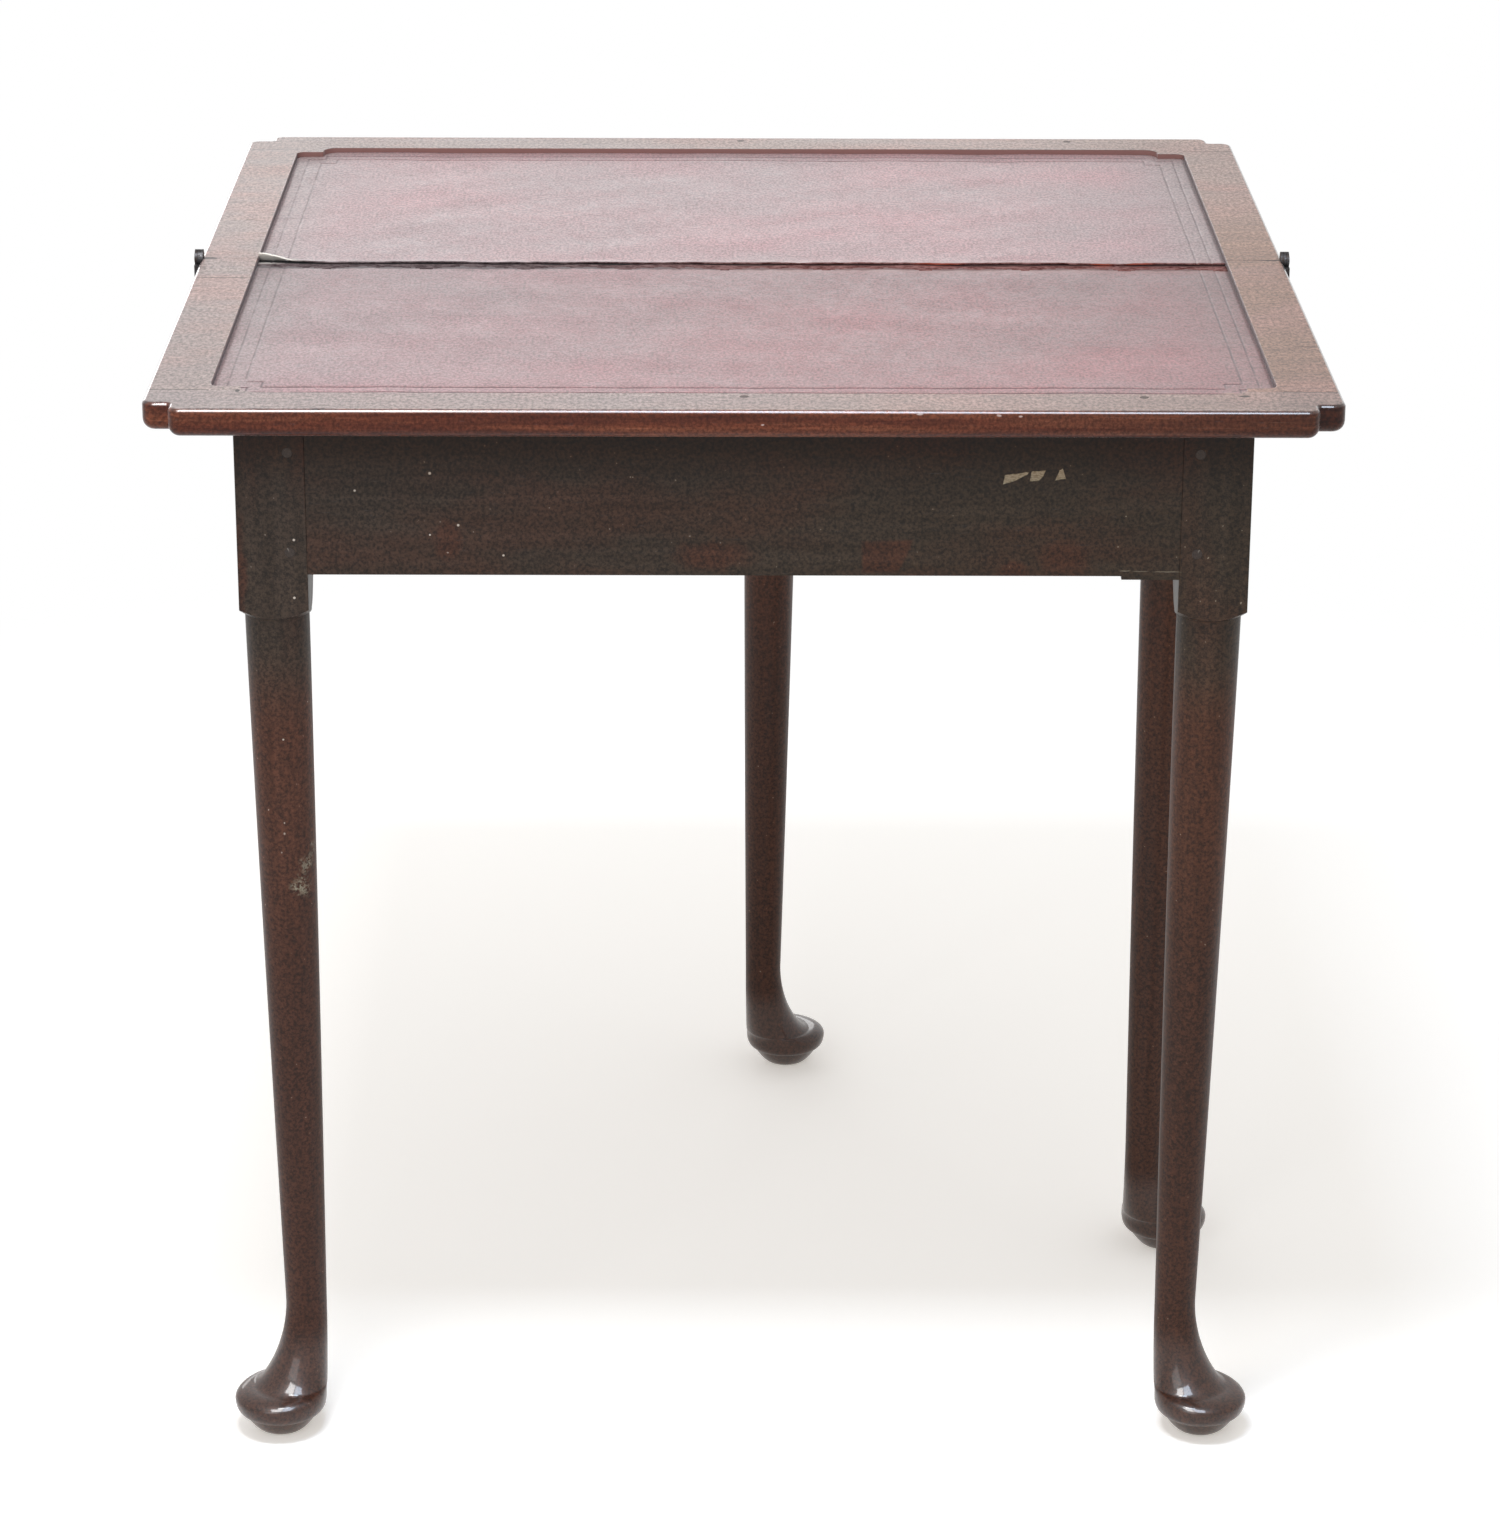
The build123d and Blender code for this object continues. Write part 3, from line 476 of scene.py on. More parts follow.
# %% A patch with straight sides
def straight_sided(tree, place, corners, soft):
    """1 inside a patch of the front with straight sides, 0 outside.

    corners are (x, z) in mm, clockwise as seen from the front. Inside, the point lies to the
    right of every side, so the smallest of the distances to the sides is above zero."""
    inside = maths(tree, "LESS_THAN", parts_of(tree, place)[1], FRONT_FACE + 5.0)
    for (x0, z0), (x1, z1) in zip(corners, corners[1:] + corners[:1]):
        length = math.hypot(x1 - x0, z1 - z0)
        away = node(tree, "VectorMath", {0: place, 1: (x0, 0, z0)}, operation="SUBTRACT")
        inwards = ((z1 - z0) / length, 0, (x0 - x1) / length)
        distance = node(tree, "VectorMath", {0: away, 1: inwards}, output="Value", operation="DOT_PRODUCT")
        inside = maths(tree, "MINIMUM", inside, ease(tree, distance, -soft, soft))
    return inside


# %% What age did to the frame
def rubbed_places(tree, place, size):
    """How far red shows through: faint broad clouds, patches on the rail, and most of each leg."""
    broad = cloud(tree, place, tuple(0.5 * length + 40 for length in size), 3.0)
    patches = blots(tree, astray(tree, place, 16, 6), red_patches, 0.5)
    patches = largest(tree, patches, straight_sided(tree, place, red_outline, 1.5))
    on_leg = ease(tree, parts_of(tree, place)[2], *RED_LEG_Z, 0.0, 0.85)
    return largest(tree, ease(tree, broad, 0.44, 0.68, 0.0, 0.4), product(tree, patches, 0.75), on_leg)


def marks_of_the_frame(tree, place, colour):
    """Chips under the top, scratches on the let-in piece, a scuff on the left leg, and pale specks."""
    ragged = astray(tree, place, 2.6, 0.5)
    chips = largest(tree, *[straight_sided(tree, ragged, outline, 0.25) for outline in chip_outlines])
    fibre = cloud(tree, place, (2.0, 2.0, 0.8), 3.0, 0.7)
    colour = tint(tree, chips, colour, colours(tree, fibre, *BROKEN_WOOD))
    scratches = product(tree, blots(tree, ragged, let_in_scratches, 0.3), 0.55)
    colour = tint(tree, scratches, colour, SCRATCH)
    mottle = ease(tree, cloud(tree, place, (2.2, 2.2, 2.2), 3.0, 0.7), 0.44, 0.58)
    scuff = product(tree, blots(tree, astray(tree, place, 9, 5), scuffs, 0.4), mottle)
    colour = tint(tree, scuff, colour, SCUFF)
    stray = ease(tree, cloud(tree, place, (2.3, 2.3, 2.3), 1.0), 0.79, 0.82, 0.0, 0.45)
    specks = largest(tree, blots(tree, place, white_specks + leg_specks, 0.3), stray)
    return tint(tree, specks, colour, SPECK)


def aged_and_shaded_frame(tree, place, colour):
    """Painted shade under the top, darkest and browner there; lightest at the top of the leg, warmer to
    the right; bare wood at the sole.
    """
    x, _, z = parts_of(tree, place)
    lighter = ease(tree, z, *LEG_LIGHTER_Z, 1.0, 1.2)
    darker = ease(tree, z, *LEG_DARKER_Z, 0.0, -0.36)
    along_leg = maths(tree, "ADD", lighter, darker)
    # Painted shade: darker and browner under the overhang of the top.
    colour = shaded(tree, colour, product(tree, ease(tree, z, *SHADE_UNDER_TOP_Z, 1.0, 0.46), along_leg))
    colour = tint(tree, ease(tree, x, *WARM_SIDE_X, 0.15, 1.0), colour, WARM_FILTER, kind="MULTIPLY")
    colour = tint(tree, ease(tree, z, *SHADE_UNDER_TOP_BROWN_Z), colour, SHADE_BROWN_FILTER, kind="MULTIPLY")
    return tint(tree, ease(tree, z, *SOLE_Z, 0.0, 0.75), colour, BARE_SOLE)


# %% Frame mahogany
def mahogany_of_the_frame(direction):
    """Near-black waxed wood with red rubbed places; direction is the way that its grain runs."""
    material, tree, shader = new_finish(
        "mahogany_frame_" + direction, Specular_IOR_Level=0.22, Coat_Roughness=0.09, Coat_IOR=1.5
    )
    place = place_in_mm(tree)
    size = grain_lengths[direction]
    grain = cloud(tree, place, size, 6.0, 0.62)
    pores = cloud(tree, place, tuple(length / 9 for length in size), 2.0)
    flecks = cloud(tree, place, (2.3, 2.3, 2.3), 3.0, 0.7)
    dark = colours(tree, grain, *WAXED_DARK)
    rubbed = colours(tree, grain, *RUBBED_RED)
    colour = tint(tree, rubbed_places(tree, place, size), dark, rubbed)
    colour = shaded(tree, colour, ease(tree, flecks, 0.3, 0.7, 0.38, 1.62))
    pits = ease(tree, pores, 0.36, 0.27, 0.0, 0.45)
    colour = marks_of_the_frame(tree, place, tint(tree, pits, colour, WAXED_PORE))
    foot_polish = ease(tree, parts_of(tree, place)[2], *FOOT_POLISH_Z, 0.0, 0.6)
    tree.links.new(foot_polish, shader.inputs["Coat Weight"])
    roughness = ease(tree, grain, 0.25, 0.8, 0.34, 0.52)
    height = maths(tree, "SUBTRACT", product(tree, grain, 0.6), pits)
    dress(tree, shader, aged_and_shaded_frame(tree, place, colour), roughness, height, 0.10)
    return material


frame_woods = {direction: mahogany_of_the_frame(direction) for direction in grain_lengths}
print("frame mahogany:", sorted(frame_woods))

# %% [markdown]
# ## Plain wood, pegs and plugs
# The back rails and blocks were never meant to be seen: dry, brown and unpolished. Pegs and plugs
# show their end grain, so they are specked, and darker than the wood round them. Two pegs stand
# proud of the front of the frame, and their upper rim is pale with wear and a painted highlight.

# %% Plain back wood
BACK_WOOD = ((0.30, (0.060, 0.034, 0.020)), (0.55, (0.120, 0.072, 0.043)), (0.75, (0.170, 0.108, 0.068)))
BACK_STAIN = (0.05, 0.03, 0.02, 1)


def plain_back_wood():
    """Dry brown wood with saw marks across its grain."""
    material, tree, shader = new_finish("back_rail_wood", Specular_IOR_Level=0.25)
    place = place_in_mm(tree)
    grain = cloud(tree, place, (150, 150, 5), 6.0, 0.6)
    stains = cloud(tree, place, (90, 90, 60), 3.0)
    saw = cloud(tree, place, (1.6, 1.6, 60), 2.0)
    colour = colours(tree, grain, *BACK_WOOD)
    colour = tint(tree, ease(tree, stains, 0.5, 0.66, 0.0, 0.6), colour, BACK_STAIN)
    roughness = ease(tree, grain, 0.2, 0.8, 0.6, 0.8)
    height = maths(tree, "ADD", grain, product(tree, saw, 0.5))
    dress(tree, shader, colour, roughness, height, 0.25)
    return material


# %% Pegs and plugs
PEG_RADII = (3.3, 9, 3.3)
RIM_WIDTH = 1.2
# Pale upper rim: wear and a painted highlight.
WORN_AND_LIT_RIM = (0.22, 0.19, 0.16, 1)
proud_pegs = ((-294.9, -355.2, 634.6), (294.9, -355.2, 634.6))


def end_grain(name, dark, light, raised=()):
    """Small specks in a dark wood: the cut ends of pegs and plugs.

    The pale upper rim of a raised one, worn and with a painted highlight, is what a blot on it shows
    beyond the same blot RIM_WIDTH lower."""
    material, tree, shader = new_finish(name, Specular_IOR_Level=0.3)
    place = place_in_mm(tree)
    specks = cloud(tree, place, (1.1, 1.1, 1.1), 3.0)
    colour = colours(tree, specks, (0.35, dark), (0.65, light))
    for x, y, z in raised:
        whole = blot(tree, place, (x, y, z), PEG_RADII, 0.1)
        lower = blot(tree, place, (x, y, z - RIM_WIDTH), PEG_RADII, 0.1)
        rim = product(tree, whole, maths(tree, "SUBTRACT", 1.0, lower), 0.8)
        colour = tint(tree, rim, colour, WORN_AND_LIT_RIM)
    dress(tree, shader, colour, ease(tree, specks, 0.3, 0.7, 0.4, 0.6), specks, 0.15)
    return material


back_wood = plain_back_wood()
peg_wood = end_grain("peg_wood", (0.024, 0.016, 0.012), (0.048, 0.031, 0.023), proud_pegs)
plug_wood = end_grain("dark_plug", (0.030, 0.018, 0.014), (0.10, 0.062, 0.050))
print("plain wood, pegs and plugs are ready")

# %% [markdown]
# ## Wrought iron
# The hinge eyes are black iron, dull with scale. Noise sorts the surface into brown rust, black scale
# and a few bright rubbed points, and the bright points are smoother too.

# %% Wrought iron
SCALY_IRON = ((0.35, (0.030, 0.020, 0.015)), (0.50, (0.028, 0.026, 0.027)), (0.72, (0.085, 0.080, 0.080)))


def black_iron():
    """Dark scaly iron with rust in its hollows."""
    material, tree, shader = new_finish("wrought_iron", Metallic=0.75)
    place = place_in_mm(tree)
    scale = cloud(tree, place, (3.5, 3.5, 3.5), 5.0, 0.65)
    colour = colours(tree, scale, *SCALY_IRON)
    dress(tree, shader, colour, ease(tree, scale, 0.35, 0.7, 0.62, 0.36), scale, 0.25)
    return material


iron = black_iron()
print("iron:", len(iron.node_tree.nodes), "nodes")

# %% [markdown]
# ## The torn leather
# One skin of wine-red leather once ran across both leaves. Folding tore it in two along the fold:
# the far half's edge curls up and turns back at the left, the near half's edge is worn to grey suede.
# Each half is worked out as one height field over a grid. The grid's lines aren't evenly spaced: they
# lie close together where a tooled line is pressed in, at the stepped corners and along the tear, so
# a few thousand points hold all of it. A cloth simulation wouldn't help, because glued leather
# doesn't fall into folds.

# %% The stepped outline
SHEET_HALF_WIDTH = 340.7
SHEET_END = 343.9
STEP_X, STEP_Y = 20.0, 14.0
LOBE_RADIUS, STEP_RADIUS, NOSE_RADIUS = 6.7, 1.8, 10.7
LEATHER_TOP = 733.4
LEATHER_THICKNESS = 1.1


def half_width_at(depth):
    """The stepped outline's half width at a depth from the fold, in mm.

    Full width, then a quarter circle (the lobe), a small hollow quarter circle, a straight
    step in, and a larger quarter circle (the nose) to the end: w = c +- sqrt(r^2 - t^2)."""
    lobe_end = SHEET_END - STEP_Y
    nose_x = SHEET_HALF_WIDTH - STEP_X
    into_lobe = np.clip(depth - (lobe_end - LOBE_RADIUS), 0, LOBE_RADIUS)
    lobe = SHEET_HALF_WIDTH - LOBE_RADIUS + np.sqrt(LOBE_RADIUS**2 - into_lobe**2)
    to_hollow = np.clip(lobe_end + STEP_RADIUS - depth, 0, STEP_RADIUS)
    hollow = nose_x + STEP_RADIUS - np.sqrt(STEP_RADIUS**2 - to_hollow**2)
    into_nose = np.clip(depth - (SHEET_END - NOSE_RADIUS), 0, NOSE_RADIUS)
    nose = hollow - NOSE_RADIUS + np.sqrt(NOSE_RADIUS**2 - into_nose**2)
    return np.where(depth <= lobe_end, lobe, nose)


def close_to(centres, reach=1.2, count=7):
    """Grid lines packed round each centre, for a groove or a corner."""
    return np.concatenate([np.linspace(c - reach, c + reach, count) for c in centres])


# %% Two tooled lines
LINES = ((331.4, 331.2, 13.0, 10.4), (321.0, 319.7, 11.5, 12.0))
GROOVE_WIDTH, GROOVE_DEPTH = 0.7, 0.35


def from_line(across, depth, line):
    """Distance in mm to one tooled line.

    The line bounds two overlapping rectangles, a wide short one and a narrow long one; the
    distance to the bounds of a union is the smaller of the two, and its size is what counts."""
    half_width, end, step_x, step_y = line
    wide = np.maximum(across - half_width, depth - (end - step_y))
    narrow = np.maximum(across - (half_width - step_x), depth - end)
    return np.abs(np.minimum(wide, narrow))


# %% Rambling lines from sums of waves
WAVE_FALL = 0.62


def wander(along, longest, seed, octaves=6):
    """A rambling line of about unit height.

    The sum of sin(2 pi along / length + phase), each wave half as long and WAVE_FALL times as
    high as the one before, with phases drawn from the seed."""
    phases = np.random.default_rng(seed).uniform(0, 2 * np.pi, octaves)
    waves = [WAVE_FALL**k * np.sin(2 * np.pi * along / (longest / 2**k) + phases[k]) for k in range(octaves)]
    return sum(waves) / 1.6


def swell(x, y, seed, count=14):
    """A gently uneven surface of about unit height: the mean of waves in many directions."""
    rng = np.random.default_rng(seed)
    lengths = rng.uniform(35, 150, count)
    angles = rng.uniform(0, np.pi, count)
    phases = rng.uniform(0, 2 * np.pi, count)
    waves = [
        np.sin(2 * np.pi * (x * np.cos(a) + y * np.sin(a)) / length + phase)
        for length, a, phase in zip(lengths, angles, phases)
    ]
    return sum(waves) / math.sqrt(count)


# %% The grid of one half
COLUMN_STEP, ROW_STEP, CORNER_STEP = 3.1, 4.9, 0.9
TEAR_ROWS = (0, 0.5, 1, 1.6, 2.3, 3.1, 4, 5, 6.2, 7.6, 9.2, 11, 13, 15.5, 18.5, 22)
FIRST_EVEN_ROW, FIRST_CORNER_ROW = 26, 322


def grid_lines():
    """Places of the grid's columns and rows in mm, from the fold outwards."""
    line_columns = [line[0] for line in LINES] + [line[0] - line[2] for line in LINES]
    line_rows = [line[1] for line in LINES] + [line[1] - line[3] for line in LINES]
    even_columns = np.arange(0, SHEET_HALF_WIDTH, COLUMN_STEP)
    half = np.concatenate([even_columns, close_to(line_columns), [SHEET_HALF_WIDTH - STEP_X]])
    half = half[half < SHEET_HALF_WIDTH]
    columns = np.concatenate([-half, half, [-SHEET_HALF_WIDTH, SHEET_HALF_WIDTH]])
    even_rows = np.arange(FIRST_EVEN_ROW, FIRST_CORNER_ROW, ROW_STEP)
    corner_rows = np.arange(FIRST_CORNER_ROW, SHEET_END, CORNER_STEP)
    step_rows = [SHEET_END - STEP_Y, SHEET_END - STEP_Y + 0.05, SHEET_END]
    rows = np.concatenate([TEAR_ROWS, even_rows, close_to(line_rows), corner_rows, step_rows])
    return np.unique(np.round(columns, 2)), np.unique(np.round(rows, 2))


def faces_inside(across, depth, side):
    """Quads of the grid that face up, without those that lie flat beyond the stepped outline."""
    outside = np.abs(across) >= half_width_at(depth)
    corners = np.arange(across.size).reshape(across.shape)
    quads = np.stack([corners[:-1, :-1], corners[:-1, 1:], corners[1:, 1:], corners[1:, :-1]], axis=-1)
    without_width = outside[:, :-1] & outside[:, 1:]
    quads = quads[~(without_width[:-1] & without_width[1:])]
    return quads[:, ::-1] if side < 0 else quads


# %% The surface of one half
TEAR_FADE = 30.0
SWELL_HEIGHT = 0.22
ROLL_WIDTH, CORNER_ROLL_WIDTH = 13.0, 8.0


def beside_left_end(x, centre, reach):
    """A bell curve, exp(-((x - centre) / reach)^2), for what differs at the left end of the tear."""
    return np.exp(-(((x - centre) / reach) ** 2))


def sheet_surface(across, depth, tear, lift, seed):
    """x, y and z in mm over the grid, with y measured from the fold outwards.

    tear(x) is how far the torn edge lies from the fold, faded out over TEAR_FADE so that the rest
    of the sheet stays in place. The face is gently uneven, and less so near the tear. Each tooled
    line is a groove exp(-(distance / width)^2). lift(x) raises the edge, as
    lift * (1 - depth / rolled)^2, where rolled narrows in the curled corner."""
    width = half_width_at(depth)
    x = np.clip(across, -width, width)
    y = depth + tear(x) * np.clip(1 - depth / TEAR_FADE, 0, 1) ** 1.5
    groove = sum(np.exp(-((from_line(np.abs(x), y, line) / GROOVE_WIDTH) ** 2)) for line in LINES)
    rolled = ROLL_WIDTH - (ROLL_WIDTH - CORNER_ROLL_WIDTH) * beside_left_end(x, -341, 30)
    curl = lift(x) * np.clip(1 - depth / rolled, 0, 1) ** 2
    uneven = SWELL_HEIGHT * swell(x, y, seed) * np.clip(depth / 20, 0.2, 1)
    return x, y, LEATHER_TOP + uneven - GROOVE_DEPTH * groove + curl


# %% A mesh with the leather's thickness
def leather_mesh(name, points, quads):
    """A mesh object from points in mm, smooth, with the leather's thickness below its face."""
    mesh = bpy.data.meshes.new(name)
    mesh.from_pydata((points * MM).tolist(), [], quads.tolist())
    mesh.shade_smooth()
    made = bpy.data.objects.new(name, mesh)
    bpy.context.scene.collection.objects.link(made)
    thick = made.modifiers.new("thickness", "SOLIDIFY")
    thick.thickness = LEATHER_THICKNESS * MM
    thick.offset = -1
    thick.material_offset = 1
    thick.material_offset_rim = 1
    return made


def flat_area(corners):
    """Area in m2 of quads laid flat: half the cross product of each one's two diagonals."""
    diagonals = corners[:, 2] - corners[:, 0], corners[:, 3] - corners[:, 1]
    return float(0.5 * np.abs(np.cross(*diagonals)).sum() * MM * MM)


# %% One half of the leather
def torn_sheet(name, body, side, tear, lift, raw_width, seed):
    """One half as a mesh: side is -1 in front of the fold and 1 behind it.

    Faces nearer to the edge than about raw_width mm are bare of their surface and get the third
    material. The distances to the tooled lines and to the tear are kept for the shader."""
    across, depth = np.meshgrid(*grid_lines())
    x, y, z = sheet_surface(across, depth, tear, lift, seed)
    points = np.stack([x, side * y, z], axis=-1).reshape(-1, 3)
    used, quads = np.unique(faces_inside(across, depth, side), return_inverse=True)
    quads = quads.reshape(-1, 4)
    made = leather_mesh(name, points[used], quads)
    middle = np.stack([x.reshape(-1), depth.reshape(-1)])[:, used[quads]].mean(axis=2)
    worn = middle[1] < raw_width * (1 + 0.45 * wander(middle[0], 70, seed + 2, 5))
    made.data.polygons.foreach_set("material_index", np.where(worn, 2, 0))
    nearest_line = np.minimum(*[from_line(np.abs(x), y, line) for line in LINES])
    for key, values in {"tooled": nearest_line, "tear": depth}.items():
        made.data.attributes.new(key, "FLOAT", "POINT").data.foreach_set("value", values.reshape(-1)[used])
    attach(made, body)
    area = flat_area(points[:, :2][used[quads]])
    print(name, len(used), "points,", len(quads), "faces, flat area", round(area, 4), "m2")
    return made, area


# %% Near and far half
def near_tear(x):
    """The near half is torn 3 mm short of the fold at the left, and 6 mm at the right."""
    to_the_right = 1 / (1 + np.exp(-(x - 20) / 50))
    return 3.2 + 2.4 * to_the_right + 1.3 * wander(x, 150, 3, 8)


def far_tear(x):
    """The far half lies 2 mm from the fold, and turns back where its corner curls at the left."""
    return 2.4 + 1.2 * wander(x, 110, 8, 8) + 3.5 * beside_left_end(x, -345, 30)


def near_lift(x):
    """A slight roll along the near edge, higher in the corner at the left."""
    return 0.35 + 0.25 * wander(x, 90, 21, 4) + 0.3 * beside_left_end(x, -341, 30)


def far_lift(x):
    """The far corner at the left stands 6 mm up, and the rest of the edge up to 1 mm.

    It stays low enough to clear the near half when the leaf is folded over onto it."""
    return 5.4 * beside_left_end(x, -341, 19) + 0.6 + 0.3 * wander(x, 130, 5, 5)


near_leather, near_area = torn_sheet("fixed_leather", "frame", -1, near_tear, near_lift, 10.0, 31)
far_leather, far_area = torn_sheet("folding_leather", "folding_leaf", 1, far_tear, far_lift, 1.2, 47)
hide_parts("fixed_leaf_lining")
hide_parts("folding_leaf_lining")


# %% [markdown]
# ## The leather's finish
# Two hundred years of light have turned the wine red to a dusty pink with redder clouds, and grey
# where hands rested beside the borders. The near half is redder, and darker with painted shade, most
# towards the fold and to the right. The creases are dark with dirt and painted shade. The tooled lines
# are burnt dark. Their distance was stored on the mesh, so the shader draws them exactly where the
# grooves are pressed in, and the distance to the tear fades the last few millimetres to raw brown. The
# torn faces and the underside are suede, and where the far corner curls up, its underside is painted
# almost white as painted light.

# %% Marks on the leather, in mm
# Creases drawn dark: dirt and painted shade in the folds.
creases = lying(
    733, 3,
    (-326, 231, 8, 1.2), (-329, 132, 12, 1.4), (-331, -100, 9, 1.6), (-331, -262, 8, 1.4),
    (-332, -278, 7, 1.3), (336, -242, 5, 1.2), (336, -268, 5, 1.2), (-250, 269, 2.2, 2.2),
) + lying(734, 3, (-328, -14, 8, 3.0))
worn_corner = lying(733, 3, (322, -333, 16, 6), (334, -326, 6, 6))
fresh_tears = lying(733, 5, (253, 0, 7, 6), (281, 0, 9, 6), (138, 0, 16, 6))
# Painted light: the curled corner's underside is painted almost white.
painted_light_on_flap = lying(738, 7, (-335, 6, 23, 9.5))

# %% Where the leather changes, from and to in mm
BORDER_GREY_X = (315, 365)
NEAR_SIDE_Y = (2, -2)
# Painted shade on the near half, towards the fold and to the right.
NEAR_SHADE_Y, NEAR_SHADE_X = (-320, -30), (-300, 320)
NEAR_REDDER_X = (-250, 120)
FAINTER_LINES_Y = (-10, 60)
TEAR_GREY_TO_RED_X, RAW_GREY_TO_RED_X = (-120, 60), (-190, 90)
FAR_EDGE_WIDTH, NEAR_EDGE_WIDTH = 7.0, 18.0

# %% Colours of the leather
FADED_WINE = ((0.34, (0.255, 0.165, 0.168)), (0.52, (0.285, 0.152, 0.158)), (0.68, (0.330, 0.145, 0.156)))
PINK_MOTTLE = (0.33, 0.20, 0.20, 1)
HAND_GREY = (0.225, 0.185, 0.175, 1)
REDDER_FILTER = (1.02, 0.76, 0.75, 1)
CREASE_DIRT_AND_SHADE = (0.10, 0.055, 0.055, 1)
WORN_TAN = (0.40, 0.27, 0.20, 1)
BURNT_LINE = (0.070, 0.026, 0.030, 1)
TEAR_BLUSH = (0.24, 0.085, 0.075, 1)
TEAR_DARK_GREY, TEAR_RED = (0.060, 0.040, 0.041, 1), (0.115, 0.038, 0.032, 1)
# Painted light on the curled corner's underside.
FLAP_PAINTED_LIGHT = (0.92, 0.86, 0.78, 1)
SUEDE = ((0.3, (0.075, 0.045, 0.042)), (0.7, (0.23, 0.165, 0.155)))
SUEDE_FRESH = (0.42, 0.085, 0.05, 1)
RAW_FRESH = (0.34, 0.075, 0.045, 1)
RAW_DARK = ((0.050, 0.035, 0.036, 1), (0.090, 0.032, 0.028, 1))
RAW_LIGHT = ((0.165, 0.125, 0.125, 1), (0.27, 0.135, 0.125, 1))


# %% The leather's face
def faded_face(tree, place, mottle, skin):
    """Pink and wine-red clouds, grey beside the borders; the near half is redder, and darker with painted
    shade, most towards the fold and to the right.
    """
    x, y, _ = parts_of(tree, place)
    clouds = cloud(tree, place, (130, 95, 95), 4.0, 0.5)
    colour = colours(tree, clouds, *FADED_WINE)
    colour = tint(tree, ease(tree, mottle, 0.3, 0.72, 0.0, 0.35), colour, PINK_MOTTLE)
    outwards = maths(tree, "ADD", absolute(tree, x), product(tree, clouds, 60.0))
    colour = tint(tree, ease(tree, outwards, *BORDER_GREY_X, 0.0, 0.55), colour, HAND_GREY)
    near = ease(tree, y, *NEAR_SIDE_Y)
    # Painted shade: darker towards the fold and to the right.
    shade_to_the_fold = ease(tree, y, *NEAR_SHADE_Y, 0.84, 0.66)
    to_the_right = ease(tree, x, *NEAR_SHADE_X, 1.0, 0.92)
    darker = product(tree, shade_to_the_fold, to_the_right)
    colour = shaded(tree, colour, between(tree, near, 1.0, darker))
    redder = product(tree, near, ease(tree, x, *NEAR_REDDER_X, 0.2, 1.0))
    colour = tint(tree, redder, colour, REDDER_FILTER, kind="MULTIPLY")
    return shaded(tree, colour, ease(tree, skin, 0.32, 0.68, 0.52, 1.48))


def marks_of_the_leather(tree, place, colour):
    """Creases, dark with dirt and painted shade, the corner that is worn tan, and the burnt lines, fainter
    where they are rubbed.
    """
    folds = product(tree, blots(tree, astray(tree, place, 12, 1.2), creases, 0.5), 0.6)
    colour = tint(tree, folds, colour, CREASE_DIRT_AND_SHADE)
    worn = product(tree, blots(tree, astray(tree, place, 9, 5), worn_corner, 0.35), 0.75)
    colour = tint(tree, worn, colour, WORN_TAN)
    from_tooling = node(tree, "Attribute", output="Fac", attribute_name="tooled")
    rubbed = ease(tree, cloud(tree, place, (9, 15, 9), 3.0), 0.32, 0.6, 0.25, 0.95)
    fainter_behind = ease(tree, parts_of(tree, place)[1], *FAINTER_LINES_Y, 1.0, 0.75)
    line = product(tree, ease(tree, from_tooling, 1.1, 0.35), rubbed, fainter_behind)
    return tint(tree, line, colour, BURNT_LINE)


def raw_beside_the_tear(tree, place, colour):
    """Dark grey at the left, and red at the right behind a blush. Gives the colour and how raw it is."""
    x, y, _ = parts_of(tree, place)
    from_tear = node(tree, "Attribute", output="Fac", attribute_name="tear")
    ragged = maths(tree, "ADD", from_tear, product(tree, cloud(tree, place, (9, 9, 9), 3.0), 9.0))
    edge_width = ease(tree, y, 0.5, -0.5, FAR_EDGE_WIDTH, NEAR_EDGE_WIDTH)
    past_edge = maths(tree, "SUBTRACT", ragged, edge_width)
    to_the_right = ease(tree, x, *TEAR_GREY_TO_RED_X)
    blush = product(tree, ease(tree, past_edge, 14, 2, 0.0, 0.45), to_the_right)
    colour = tint(tree, blush, colour, TEAR_BLUSH)
    raw = ease(tree, past_edge, 3.5, -2.5, 0.0, 0.92)
    return tint(tree, raw, colour, tint(tree, to_the_right, TEAR_DARK_GREY, TEAR_RED)), raw


# %% Tooled leather
def tooled_leather():
    """Dusty wine-red leather with dark tooled lines and a raw edge along the tear."""
    material, tree, shader = new_finish(
        "tooled_leather", Specular_IOR_Level=0.4, Sheen_Weight=0.25, Sheen_Roughness=0.5
    )
    place = place_in_mm(tree)
    mottle = cloud(tree, place, (7, 7, 7), 4.0, 0.6)
    skin = cloud(tree, place, (1.9, 3.4, 1.9), 3.0, 0.65)
    colour = marks_of_the_leather(tree, place, faded_face(tree, place, mottle, skin))
    colour, raw = raw_beside_the_tear(tree, place, colour)
    smooth = ease(tree, mottle, 0.3, 0.7, 0.38, 0.50)
    roughness = largest(tree, smooth, ease(tree, raw, 0.2, 0.8, 0.0, 0.95))
    dress(tree, shader, colour, roughness, skin, 0.10)
    return material


